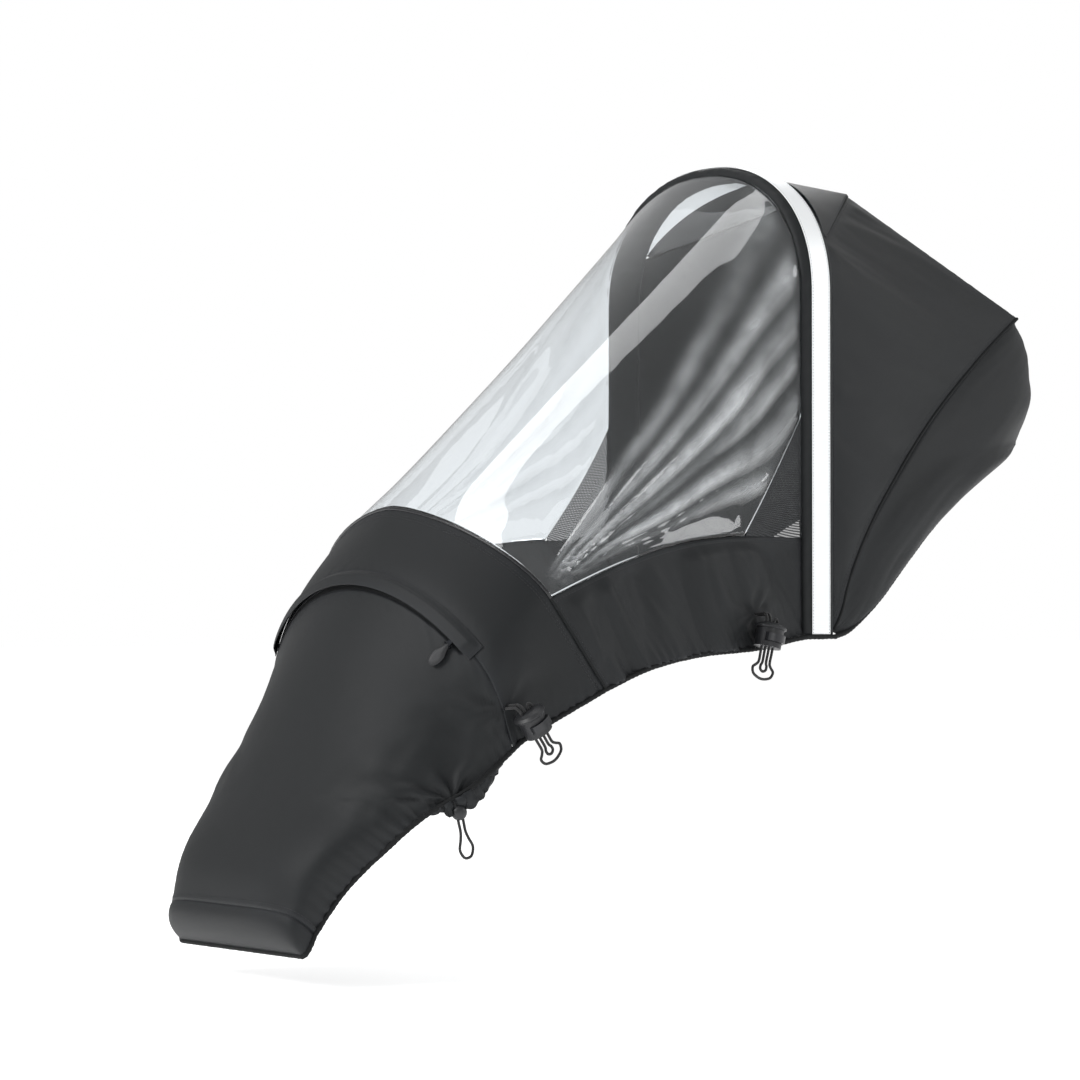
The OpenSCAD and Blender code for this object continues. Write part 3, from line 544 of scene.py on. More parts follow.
def cinched(grid, knot, reach, height, seed):
    """Folds that run out from where an elastic draws the cloth in"""
    away = grid - knot
    far = np.linalg.norm(away, axis=2)
    turn = np.arctan2(away[..., 2], away[..., 1])
    ridges = np.sin(7 * turn + 2.0 * cloud(far / 30, turn, seed))
    lift = height * np.exp(-far / reach) * (ridges - 0.5) * ease(far / 14)
    lift = lift * ease(from_edge(grid, ("first", "last")) / 15)
    return grid + lift[..., None] * normals(grid)


# ---------- materials ----------

def linear(code):
    """Linear colour of an sRGB hex value"""
    parts = [int(code[i:i + 2], 16) / 255 for i in (1, 3, 5)]
    return [c / 12.92 if c <= 0.04045 else ((c + 0.055) / 1.055) ** 2.4 for c in parts] + [1.0]


def feed(owner, node, inputs):
    """Gives each of a node's inputs its value, or the output that feeds it"""
    for key, value in inputs.items():
        if isinstance(value, bpy.types.NodeSocket):
            owner.node_tree.links.new(value, node.inputs[key])
        else:
            node.inputs[key].default_value = value


def add(owner, kind, inputs, output=0, **settings):
    """Adds one node to a material or a world, with its settings and inputs, and gives one output"""
    node = owner.node_tree.nodes.new("ShaderNode" + kind)
    for name, value in settings.items():
        setattr(node, name, value)
    feed(owner, node, inputs)
    return node.outputs[output]


def started(name):
    """An empty material with its surface shader"""
    material = bpy.data.materials.new(name)
    material.use_nodes = True
    nodes = material.node_tree.nodes
    nodes.clear()
    shader = nodes.new("ShaderNodeBsdfPrincipled")
    feed(material, nodes.new("ShaderNodeOutputMaterial"), {"Surface": shader.outputs[0]})
    return material, shader


def on_cut(material):
    """Place on a piece's cut, in metres"""
    return add(material, "UVMap", {}, uv_map="cut")


def in_seam(material):
    """How near a seam a point is, or how sharply it is creased"""
    return add(material, "Attribute", {}, "Fac", attribute_name="seam")


def noisy(material, place, scale, detail=2.0):
    return add(material, "TexNoise", {"Vector": place, "Scale": scale, "Detail": detail}, "Fac")


def ranged(owner, value, low, high):
    """A value from 0 to 1, made to run from low to high"""
    return add(owner, "MapRange", {"Value": value, "To Min": low, "To Max": high})


def blend(material, factor, a, b, way="MIX"):
    return add(material, "Mix", {"Factor": factor, "A": a, "B": b}, "Result", data_type="RGBA",
               blend_type=way)


def bumped(material, height, strength, depth):
    return add(material, "Bump", {"Height": height, "Strength": strength, "Distance": depth})


def turned(material, place, degrees):
    return add(material, "Mapping", {"Vector": place, "Rotation": (0, 0, math.radians(degrees))})


def bands(pitch):
    """Scale at which a band texture repeats at this pitch in metres"""
    return 2 * math.pi / (20 * pitch)


def higher(material, a, b):
    return add(material, "Math", {0: a, 1: b}, operation="MAXIMUM")


def weave(material, place, pitch, wobble=0.0):
    """Height of threads that cross each other, pitch metres apart"""
    return higher(material, *[
        add(material, "TexWave", {"Vector": place, "Scale": bands(pitch), "Distortion": wobble,
                                  "Detail": 1.0}, "Fac", bands_direction=way) for way in "XY"])


def woven(name, code, worn_code, pitch, depth, roughness):
    """Woven cloth on its cut's UV map: threads over and under, uneven dye, paler along the seams"""
    material, shader = started(name)
    cut = on_cut(material)
    threads = weave(material, cut, pitch, 0.4)
    dye = noisy(material, cut, 9.0, 6.0)
    rubbed = add(material, "Math", {0: in_seam(material), 1: dye}, operation="MULTIPLY")
    tone = add(material, "Math", {0: dye, 1: 0.5, 2: rubbed}, operation="MULTIPLY_ADD")
    base = blend(material, tone, linear(code), linear(worn_code))
    feed(material, shader, {
        "Base Color": blend(material, 1.0, base, ranged(material, threads, 0.72, 1.08), "MULTIPLY"),
        "Roughness": ranged(material, dye, roughness - 0.06, roughness + 0.08),
        "Normal": bumped(material, threads, 0.5, depth),
        "Sheen Weight": 0.02, "Sheen Roughness": 0.45, "IOR": 1.5, "Specular IOR Level": 0.25})
    return material


def coated_cloth(c):
    """Polyurethane-coated polyester taffeta: a dull black-grey with a soft shine on its folds.
    Its threads are 0.3 mm apart and are drawn 1.1 mm apart, as finer ones would not show."""
    return woven("coated polyester taffeta", c.cloth, c.cloth_worn, 1.1 * MM, 0.12 * MM, 0.5)


def ribbed_tape(c):
    """Polyester grosgrain tape: matt black with ribs across it, drawn 1.3 mm apart"""
    return woven("polyester grosgrain tape", c.tape, c.cloth, 1.3 * MM, 0.18 * MM, 0.72)


def clear_foil(c):
    """Soft thermoplastic polyurethane film: clear and glossy, and milky where it is creased"""
    material, shader = started("clear polyurethane film")
    drift = noisy(material, on_cut(material), 30.0, 4.0)
    milky = add(material, "Math", {0: in_seam(material), 1: drift}, operation="MULTIPLY")
    feed(material, shader, {
        "Transmission Weight": ranged(material, milky, 1.0, 0.25),
        "Roughness": ranged(material, milky, 0.0, 0.3), "Base Color": linear(c.foil), "IOR": 1.45})
    return material


def vent_mesh(c):
    """Warp-knitted polyester mesh: dark threads 2.2 mm apart round holes that a finer yarn veils"""
    material, shader = started("knitted polyester mesh")
    cut = on_cut(material)
    threads = weave(material, turned(material, cut, 45), 2.2 * MM)
    net = add(material, "MapRange", {"Value": threads, "From Min": 0.3, "From Max": 0.75,
                                     "To Min": 0.3})
    feed(material, shader, {
        "Base Color": blend(material, noisy(material, cut, 60.0), linear(c.mesh), linear("#232527")),
        "Alpha": net, "Normal": bumped(material, threads, 0.6, 0.3 * MM), "Roughness": 0.7})
    return material


def reflective_tape(c):
    """Glass-bead reflective tape: silver-white, with the faint grid of its beads' cells, and a faint
    painted glow in its own colour that makes it brighter than the lamps light it
    """
    material, shader = started("glass-bead reflective tape")
    cells = add(material, "TexVoronoi", {"Vector": on_cut(material), "Scale": 420.0,
                                         "Randomness": 0.25}, "Distance", feature="DISTANCE_TO_EDGE")
    edge = add(material, "MapRange", {"Value": cells, "From Max": 0.12})
    feed(material, shader, {
        "Base Color": blend(material, edge, linear("#C4C8CB"), linear(c.reflective)),
        "Normal": bumped(material, edge, 0.3, 0.1 * MM), "Roughness": 0.38, "Metallic": 0.15,
        # painted glow: this emission makes the tape shine brighter than the lamps light it
        "Emission Color": linear(c.reflective), "Emission Strength": 0.18})
    return material


def moulded(name, code, roughness, grain=0.4):
    """Injection-moulded plastic with the fine spark-eroded grain of its tool, in millimetres"""
    material, shader = started(name)
    place = add(material, "TexCoord", {}, "Object")
    speck, wear = noisy(material, place, 1 / (grain * MM), 3.0), noisy(material, place, 90.0, 4.0)
    feed(material, shader, {
        "Base Color": blend(material, wear, linear(code), linear("#2A2B2E")),
        "Normal": bumped(material, speck, 0.25, 0.08 * MM),
        "Roughness": ranged(material, wear, roughness - 0.08, roughness + 0.1)})
    return material


def metal(name, code, roughness):
    """Drawn or lacquered metal with fine lines along its object's Z direction"""
    material, shader = started(name)
    place = add(material, "TexCoord", {}, "Object")
    drawn = add(material, "Mapping", {"Vector": place, "Scale": (1.0, 1.0, 0.05)})
    lines = noisy(material, drawn, 2500.0)
    feed(material, shader, {
        "Roughness": ranged(material, lines, roughness - 0.05, roughness + 0.12),
        "Normal": bumped(material, lines, 0.1, 0.05 * MM), "Base Color": linear(code),
        "Metallic": 1.0})
    return material


def braided_cord(c):
    """Elastic cord under a braided polyester sheath: strands crossing at a slant, 1 mm apart"""
    material, shader = started("braided polyester sheath")
    cut = on_cut(material)
    braid = higher(material, *[
        add(material, "TexWave", {"Vector": turned(material, cut, slant), "Scale": bands(1.0 * MM)},
            "Fac") for slant in (40, -40)])
    feed(material, shader, {
        "Base Color": blend(material, braid, linear("#0B0B0C"), linear(c.cord)),
        "Normal": bumped(material, braid, 0.7, 0.2 * MM), "Roughness": 0.6, "Sheen Weight": 0.2})
    return material


MATERIALS = {}


def finish_of(name):
    """The shared material of that name, made once"""
    if name not in MATERIALS:
        c = bpy.context.scene.cover_colours
        makers = {
            "cloth": coated_cloth, "tape": ribbed_tape, "foil": clear_foil, "mesh": vent_mesh,
            "reflective": reflective_tape, "cord": braided_cord,
            "thread": lambda c: moulded("bonded nylon thread", "#25272A", 0.5, 0.3),
            "piping": lambda c: moulded("extruded vinyl piping", c.tape, 0.24),
            "teeth": lambda c: moulded("moulded acetal teeth", c.plastic, 0.35, 0.3),
            "plastic": lambda c: moulded("moulded acetal", c.plastic, 0.42),
            "button": lambda c: moulded("moulded nylon", "#232427", 0.3),
            "pull": lambda c: moulded("soft moulded vinyl", "#101113", 0.5),
            "slider": lambda c: metal("black lacquered zinc", "#1B1C1E", 0.35),
            "rod": lambda c: metal("drawn aluminium", "#B9BCBF", 0.3),
            "spring": lambda c: metal("spring steel wire", "#C8CACC", 0.25),
        }
        MATERIALS[name] = makers[name](c)
    return MATERIALS[name]


# ---------- operators ----------

ROOM_LIGHT = 0.42   # what the white room sheds on the cover, as a share of what it looks like
FLOOR_GLOW = 0.62
FLOOR_DROP = 0.03   # metres below the cover
LAMPS = {           # place, width in metres and watts
    "key": ((-0.6, -3.1, 1.7), 1.6, 46), "strip": ((2.1, 2.7, 1.7), 1.5, 22),
    "side": ((3.0, -0.6, 0.7), 1.4, 7), "top": ((-0.4, -0.6, 2.8), 1.2, 12),
    "rim": ((-1.8, 1.8, 1.8), 1.0, 12),
}


def facing(direction):
    """Rotation of a camera or lamp that looks along a direction"""
    return direction.to_track_quat("-Z", "Y").to_euler()


class COVER_OT_stage(bpy.types.Operator):
    """Makes the camera, the floor, which glows like a light table, and the studio light"""
    bl_idname = "cover.stage"
    bl_label = "Stage"

    def execute(self, context):
        st, c = context.scene.cover_stage, context.scene.cover_colours
        back = Vector((math.sin(st.azimuth) * math.cos(st.elevation),
                       -math.cos(st.azimuth) * math.cos(st.elevation), math.sin(st.elevation)))
        target = Vector(st.target)
        camera = bpy.data.objects.new("camera", bpy.data.cameras.new("camera"))
        camera.data.lens, camera.data.sensor_width = st.lens, 36
        camera.location = target + back * st.distance
        camera.rotation_euler = facing(-back)
        context.scene.collection.objects.link(camera)
        context.scene.camera = camera

        material, shader = started("painted studio floor")
        mottle = noisy(material, add(material, "TexCoord", {}, "Object"), 2.0)
        feed(material, shader, {
            "Roughness": ranged(material, mottle, 0.75, 0.85), "Base Color": linear(c.floor),
            "Emission Color": linear(c.floor), "Emission Strength": FLOOR_GLOW})
        bm = bmesh.new()
        bmesh.ops.create_grid(bm, x_segments=4, y_segments=4, size=30,
                              matrix=Matrix.Translation((0, 0, cad_box[0][2] - FLOOR_DROP)))
        finished("floor", bm, material)

        world = bpy.data.worlds.new("studio")
        world.use_nodes = True
        seen = world.node_tree.nodes.new("ShaderNodeLightPath").outputs
        through = higher(world, seen["Is Camera Ray"], seen["Is Transmission Ray"])
        feed(world, world.node_tree.nodes["Background"], {
            "Color": (1, 1, 1, 1), "Strength": ranged(world, through, ROOM_LIGHT, 1.0)})
        context.scene.world = world
        context.scene.view_settings.view_transform = "Standard"
        for name, (place, width, watts) in LAMPS.items():
            light = bpy.data.lights.new(name, "AREA")
            light.size, light.energy, light.shape = width, watts, "DISK"
            lamp = bpy.data.objects.new(name, light)
            lamp.location = place
            lamp.rotation_euler = facing(target - Vector(place))
            context.scene.collection.objects.link(lamp)
        return {"FINISHED"}


# Routes of the elastic loops in a lock's own frame, in millimetres: x out of the cover, z up the lock
LOCK_ROUTE = [
    (-23, -7.5, 14), (-12, -7.5, 15), (-4, -7.5, 15), (0, -7.5, 10), (0, -7.5, 4), (0, -7.5, -10),
    (0, -7.5, -25), (0, -7.5, -36), (0, -10, -40), (0, -14, -44), (0, -12, -50), (0, -6, -53),
    (0, 0, -54), (0, 6, -53), (0, 12, -50), (0, 14, -44), (0, 10, -40), (0, 7.5, -36),
    (0, 7.5, -25), (0, 7.5, -10), (0, 7.5, 4), (0, 7.5, 9), (0, 5, 12), (0, 2.5, 9), (0, 2.5, 4),
    (0, 2.5, -10), (0, 2.5, -25), (0, 2.5, -36), (0, 4, -40), (0, 3.6, -44), (0, 0, -46),
    (0, -3.6, -44), (0, -4, -40), (0, -2.5, -36), (0, -2.5, -25), (0, -2.5, -10), (0, -2.5, 4),
    (0, -2.5, 10), (-4, -2.5, 15), (-12, -2.5, 15), (-23, -2.5, 14),
]
BALL_ROUTE = [
    (-2, -3, 14), (0, -3, 8), (0, -3, 0), (0, -3, -10), (0, -3, -20), (0, -5, -28), (0, -8, -37),
    (0, -5, -45), (0, 0, -47), (0, 5, -45), (0, 8, -37), (0, 5, -28), (0, 3, -20), (0, 3, -10),
    (0, 3, 0), (0, 3, 8), (-2, 3, 14),
]
# Each loop: its route, its lock's place and tilt, and its real length in metres
LOOPS = {
    "rear": (LOCK_ROUTE, (208.2, -93, 8), -14, 0.327),
    "front": (LOCK_ROUTE, (233.4, -424, -78), 35, 0.327),
    "ball": (BALL_ROUTE, (198.5, -486, -173.5), 14, 0.133),
}


def loop_path(loop, side):
    """Points of an elastic loop in the frame, in millimetres"""
    route, place, tilt, _ = LOOPS[loop]
    a = math.radians(tilt)
    turn = np.array([[1, 0, 0], [0, math.cos(a), -math.sin(a)], [0, math.sin(a), math.cos(a)]])
    path = smooth(route, np.linspace(0, 1, 8 * len(route))) @ turn.T + np.array(place)
    return path if side > 0 else flip(path)


class COVER_OT_cords(bpy.types.Operator):
    """Makes the six elastic loops along the hem"""
    bl_idname = "cover.cords"
    bl_label = "Elastic loops"

    def execute(self, context):
        s = context.scene.cover_sizes
        for loop, (_, _, _, length) in LOOPS.items():
            for side_name, side in SIDES.items():
                path = loop_path(loop, side)
                grid = rings(path, s.cord / MM / 2, 10, (1, 0, 0))
                piece = surface(f"loop_{loop}_{side_name}", grid, finish_of("cord"))
                dressed(piece, "cover", "cord", f"cord_{loop}_{side_name}")
        return {"FINISHED"}


class COVER_OT_leg_cover(bpy.types.Operator):
    """Makes the two cloth parts of the leg cover and the closed end of its foot pocket"""
    bl_idname = "cover.leg_cover"
    bl_label = "Leg cover"

    def execute(self, context):
        s = context.scene.cover_sizes
        shape, columns = Shape(s), 160
        gather = s.hem_gather / MM
        _, knots = shape.leg(columns)
        gap = shape.zip_gap(columns)[None, :]
        places = (knots[4] - gap) * np.linspace(0, 1, 111)[:, None]
        lower = shape.leg_surface(places, columns)
        flank = np.abs(np.linspace(-1, 1, columns + 1))[None, :] ** 2
        slimmer = -7 * np.exp(-((places - knots[2]) / 55) ** 2) * flank * (1 - flank ** 6)
        lower = lower + slimmer[..., None] * normals(lower)
        lower = sewn(lower, ("last",), 1.0, [(260, 120, 20, 0.9)], gather, ("start", "end"))
        places = mix(knots[4] + gap, knots[6], np.linspace(0, 1, 33)[:, None])
        upper = shape.leg_surface(places, columns)
        upper = sewn(upper, ("first", "last"), 2.0, [(200, 90, 0, 0.7)], gather, ("start", "end"))
        for side in SIDES.values():
            for loop, reach, height in (("ball", 46, 5.0), ("front", 34, 3.0)):
                knot = loop_path(loop, side)[0]
                lower = cinched(lower, knot, reach, height, 30.0 + side)
                upper = cinched(upper, knot, reach * 0.8, height * 0.7, 33.0 + side)
        cap = shape.foot_cap(np.radians(np.linspace(90, 0, 25)), columns)
        cap[-1] = lower[0]
        cap[-2] = mix(cap[-2], lower[0] + (cap[-2] - cap[-1]), 0.5)
        for name, grid, node in (("leg_cover_lower", lower, "leg_cover_lower"),
                                 ("leg_cover_upper", upper, "leg_cover_upper"),
                                 ("foot_pocket_end", cap, "foot_cap")):
            panel(f"sewn_{name}", node, grid, thickness=s.cloth)
        lines = [inset_line(upper, "last", 7), inset_line(upper, "last", 10),
                 inset_line(lower, "first", 6)]
        stitched("leg_cover_stitches", lines, s.stitch / MM)
        return {"FINISHED"}


class COVER_OT_side_panels(bpy.types.Operator):
    """Makes the cloth side panels below the window, with the folds that hang from its edge"""
    bl_idname = "cover.side_panels"
    bl_label = "Side panels"

    def execute(self, context):
        s = context.scene.cover_sizes
        shape = Shape(s)
        hem = even(shape.side_hem(), 110)
        v = np.linspace(0, 1, 111)
        top = shape.window(v, 0 * v)
        sheet = hem[:, None] + (top - hem)[:, None] * np.linspace(0, 1, 37)[None, :, None]
        lines = []
        for side_name, side in SIDES.items():
            grid = sewn(sheet, ("first", "last", "end"), 3.0 + side,
                        [(300, 52, 14, 9.0), (150, 30, -5, 2.4)], s.hem_gather / MM, ("start",))
            grid = cinched(grid, loop_path("rear", 1)[0], 24, 2.6, 36.0 + side)
            seams = [inset_line(grid, "end", 5), inset_line(grid, "first", 5)]
            if side < 0:
                grid, seams = flip(grid)[:, ::-1], mirrored(seams)
            lines += seams
            panel(f"sewn_side_panel_{side_name}", f"side_panel_{side_name}", grid, thickness=s.cloth)
        stitched("side_panel_stitches", lines, s.stitch / MM)
        return {"FINISHED"}


class COVER_OT_windows(bpy.types.Operator):
    """Makes the clear front window and roof, and the mesh vents beside the hoop"""
    bl_idname = "cover.windows"
    bl_label = "Windows and vents"

    def execute(self, context):
        s = context.scene.cover_sizes
        shape = Shape(s)
        grid, milk = self.window(shape)
        panel("film_window", "window_front", grid, "foil", s.foil, creases=milk)
        self.roof(shape, s)

        v = np.linspace(shape.vent_start, 1, 25)[:, None]
        t = shape.vent_edge(v) * np.linspace(0, 1, 33)[None, :]
        vent = shape.window(v + 0 * t, t)[1:]
        for side_name, side in SIDES.items():
            grid = vent if side > 0 else flip(vent)[:, ::-1]
            panel(f"vent_net_{side_name}", f"vent_mesh_{side_name}", grid, "mesh")
        return {"FINISHED"}

    def window(self, shape):
        """The window's film, with creases that fan out from the knees, fainter on the right side, and
        how milky they are"""
        v = np.concatenate([np.linspace(0, shape.vent_start, 80),
                            np.linspace(shape.vent_start, 1, 27)[1:]])
        edge = shape.vent_edge(v)[:, None]
        t = mix(edge, 1 - edge, np.linspace(0, 1, 151)[None, :])
        reach = v[:, None] + 0 * t
        grid = shape.window(reach, t)
        across, along = spans(grid)
        side = np.abs(2 * t - 1) ** 2
        fan = np.minimum(t, 1 - t) / (reach + 0.1)
        fan = fan + 0.012 * cloud(along / 120, t * 5, 4.0)
        crease = 0 * t
        for place, width, share in ((0.075, 0.012, 0.7), (0.12, 0.015, 1.0), (0.168, 0.012, 0.6),
                                    (0.21, 0.018, 1.0), (0.27, 0.02, 0.8), (0.345, 0.025, 0.45)):
            broken = 0.45 + 0.55 * ease((cloud(reach * 3, place * 40 + 0 * t, 9.0) + 0.5) / 0.9)
            crease += share * broken * np.exp(-((fan - place) / width) ** 2)
        crease = crease * np.where(t < 0.5, 1.0, 0.4)
        sag = -5 * np.sin(np.pi * reach) * (1 - side)
        fade = ease(from_edge(grid, EDGES) / 26) * ease(reach / 0.12)
        small = cloud(across / 20 + along / 50, along / 24 - across / 70, 12.0)
        lift = fade * (sag + 9.0 * (crease - 0.3 * side) + 0.8 * cloud(across / 90, along / 160, 5.0)
                       + 0.9 * side * ease(reach / 0.7) * small)
        return grid + lift[..., None] * normals(grid), np.clip(fade * crease, 0, 1)

    def roof(self, shape, s):
        """The film behind the hoop, and the cloth facing that covers all but its front"""
        hood = shape.hood()
        line = hoop_line(s, 0, 0, shape.back)
        fore = np.vstack([hood["join"], line[line[:, 2] > hood["join"][2] + 1], flip(hood["join"])])
        fore, rear = even(fore, 90), even(hood["arch"], 90)
        roof = mix(fore[None], rear[None], np.linspace(0, 1, 31)[:, None, None])[:, 2:-2]
        faced, clearance = 21, 2.4
        lining = roof[-faced:] + clearance * normals(roof)[-faced:]
        piece = surface("sewn_roof_facing", lining, finish_of("cloth"), 0.6 * MM)
        dressed(piece, "cover", "cloth", "hood_binding")
        roof = sewn(roof, EDGES, 6.0, [(160, 60, 0, 1.2)])
        panel("film_roof", "window_roof", roof, "foil", s.foil, creases=0 * roof[..., 0])


class COVER_OT_hood(bpy.types.Operator):
    """Makes the hood: two sides, its top, and a back that stays open below"""
    bl_idname = "cover.hood"
    bl_label = "Hood"

    def execute(self, context):
        s = context.scene.cover_sizes
        shape = Shape(s)
        hood = shape.hood()
        front = even(hood["front"], 110)
        seam = even(smooth(hood["seam"], np.linspace(0, 1, 300)), 110)
        c = np.linspace(0, 1, 61)[:, None, None]
        i = np.linspace(0, 1, 111)[None, :, None]
        bulge = 8 * np.sin(np.pi * c) * np.sin(np.pi * i) * unit(np.array([1, 0.2, 0.3]))
        side_grid = (mix(front[None], seam[None], c) + bulge)[:, 1:]

        share = 0.62  # of the back's outer edge that is hem, the rest being its middle seam
        at = np.linspace(0.03, 1, 101)
        edge = np.where((at < share)[:, None], smooth(hood["hem"], np.minimum(at / share, 1)),
                        smooth(hood["middle"], np.maximum(0, (at - share) / (1 - share))))
        rail = smooth(hood["seam"], at)
        a = np.radians(np.linspace(0, 90, 41))[:, None]
        turns = (1 - np.cos(a), np.sin(a), np.sin(a))
        back = np.stack([mix(rail[:, k], edge[:, k], turns[k]) for k in range(3)], -1)
        lines = []
        for side_name, side in SIDES.items():
            flank = sewn(side_grid, EDGES, 11.0 + side, [(300, 60, 80, 2.4), (160, 34, 65, 0.8)])
            rear = sewn(back, ("first", "end"), 14.0 + side, [(200, 60, 15, 1.8)], s.hem_gather / MM)
            seams = [inset_line(flank, "last", 5), inset_line(flank, "last", 8),
                     inset_line(flank, "first", 5)]
            if side < 0:
                flank, rear = flip(flank)[:, ::-1], flip(rear)[:, ::-1]
                seams = mirrored(seams)
            lines += seams
            panel(f"sewn_hood_side_{side_name}", f"hood_side_{side_name}", flank, thickness=s.cloth)
            panel(f"sewn_hood_back_{side_name}", f"hood_back_{side_name}", rear, thickness=s.cloth)
        top = np.array([[shape.hood_top(t, a) for a in np.linspace(0, math.pi, 33)]
                        for t in np.linspace(0, 1, 71)])
        top = sewn(top, EDGES, 17.0, [(120, 40, 10, 2.0)])
        panel("sewn_hood_top", "hood_top", top, thickness=s.cloth)
        lines += [inset_line(top, "first", 6), inset_line(top, "last", 6)]
        stitched("hood_stitches", lines, s.stitch / MM)
        return {"FINISHED"}


class COVER_OT_hoop(bpy.types.Operator):
    """Makes the hoop's sleeve and its reflective strip, and finishes the rod and its sockets"""
    bl_idname = "cover.hoop"
    bl_label = "Hoop"

    def execute(self, context):
        s = context.scene.cover_sizes
        line = even(hoop_line(s, 0, 0.5, 0), 330)
        along = lengths(line)
        tangent = unit(np.gradient(line, axis=0))
        outward = np.cross(tangent, np.array([0, 1, 0]))
        half_width, half_height = 21, 8
        a = np.linspace(0, 2 * math.pi, 41)
        ruck = 0.6 * cloud(along[:, None] / 9 + 0 * a, 0.8 * np.cos(a) + 0 * along[:, None], 21.0)
        y = half_width * power(np.cos(a), 0.55)[None, :, None] * np.array([0, 1, 0])
        out = (half_height * power(np.sin(a), 0.75)[None, :] + ruck)[..., None] * outward[:, None]
        grid = line[:, None] + y + out
        piece = surface("sewn_hoop_sleeve", grid[:, ::-1], finish_of("cloth"), s.cloth)
        dressed(piece, "cover", "cloth", "hoop_sleeve")
        strip = even(hoop_line(s, 8.9, 2, 0), 330)
        across = np.linspace(-12.5, 12.5, 13)
        grid = strip[None] + across[:, None, None] * np.array([0, 1, 0])
        panel("sewn_reflective_strip", "reflective_strip", grid, "reflective", 0.5 * MM)
        lines = [(strip + np.array([0, y, 0]), outward) for y in (-11, 11)]
        stitched("strip_stitches", lines, s.stitch / MM * FINE, "reflective")
        repaint("rod", "hoop_rod")
        repaint("plastic", "hoop_socket_left", "hoop_socket_right")
        return {"FINISHED"}


def repaint(look, *nodes):
    """Gives CAD nodes one of the shared materials"""
    for node in nodes:
        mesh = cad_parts[node].data
        mesh.materials.clear()
        mesh.materials.append(finish_of(look))


class COVER_OT_bindings(bpy.types.Operator):
    """Makes the bindings and piping in the seams, and the gathered elastic hem"""
    bl_idname = "cover.bindings"
    bl_label = "Bindings and hem"

    def execute(self, context):
        shape = Shape(context.scene.cover_sizes)
        hood = shape.hood()
        seam = even(smooth(hood["seam"], np.linspace(0.05, 1, 200)), 200)
        corner = even(np.vstack([shape.knee_corner, shape.knee_hem]), 40)
        tapes = {"knee_binding": even(shape.knee_arch, 200), "hood_binding": even(hood["arch"], 160),
                 "leg_piping_left": corner, "leg_piping_right": flip(corner),
                 "hood_piping_left": seam, "hood_piping_right": flip(seam)}
        for name, path in tapes.items():
            radius = 1.9 + 0.12 * cloud(lengths(path) / 6, 0 * path[:, 0], 5.0)
            look = "piping" if name == "knee_binding" else "tape"
            piece = surface(f"sewn_{name}", rings(path, radius, 12, (1, 0, 0)), finish_of(look))
            dressed(piece, "cover", "binding", name)

        path = self.hem(shape, hood)
        along = lengths(path)
        radius = 2.6 + 0.2 * np.sin(along / 0.95) + 0.2 * cloud(along / 12, 0 * along, 8.0)
        piece = surface("sewn_elastic_hem", rings(path, radius, 12, caps=False), finish_of("tape"))
        dressed(piece, "cover", "elastic", "hem_elastic")
        return {"FINISHED"}

    def hem(self, shape, hood):
        """Closed line of the elastic in the lower edge, which passes outside the hoop's sockets"""
        columns = 160
        sections, knots = shape.leg(columns)
        places = np.linspace(0, knots[6], 120)[:, None] + np.zeros((1, columns + 1))
        leg = shape.leg_surface(places, columns)
        rim = sections[0]
        bottom = np.array([[x * shape.foot, rim[0, 1], rim[0, 2]] for x in (0, 0.3, 0.6, 0.85)])
        cap = shape.foot_cap(np.radians(np.linspace(90, 0, 20)), columns)[:, 0]
        half = np.vstack([bottom + shape.sole * shape.sole_turn, cap[1:], leg[1:, 0],
                          shape.side_hem()[1:], smooth(hood["hem"], np.linspace(0, 1, 160))[1:]])
        near_socket = np.exp(-(half[:, 1:2] / 34) ** 2) * (np.abs(half[:, :1]) > 100)
        half = even(half + np.array([12.5, 0, -1.8]) * near_socket * 0.84, 900)
        return np.vstack([half, flip(half)[-2:0:-1], half[:1]])


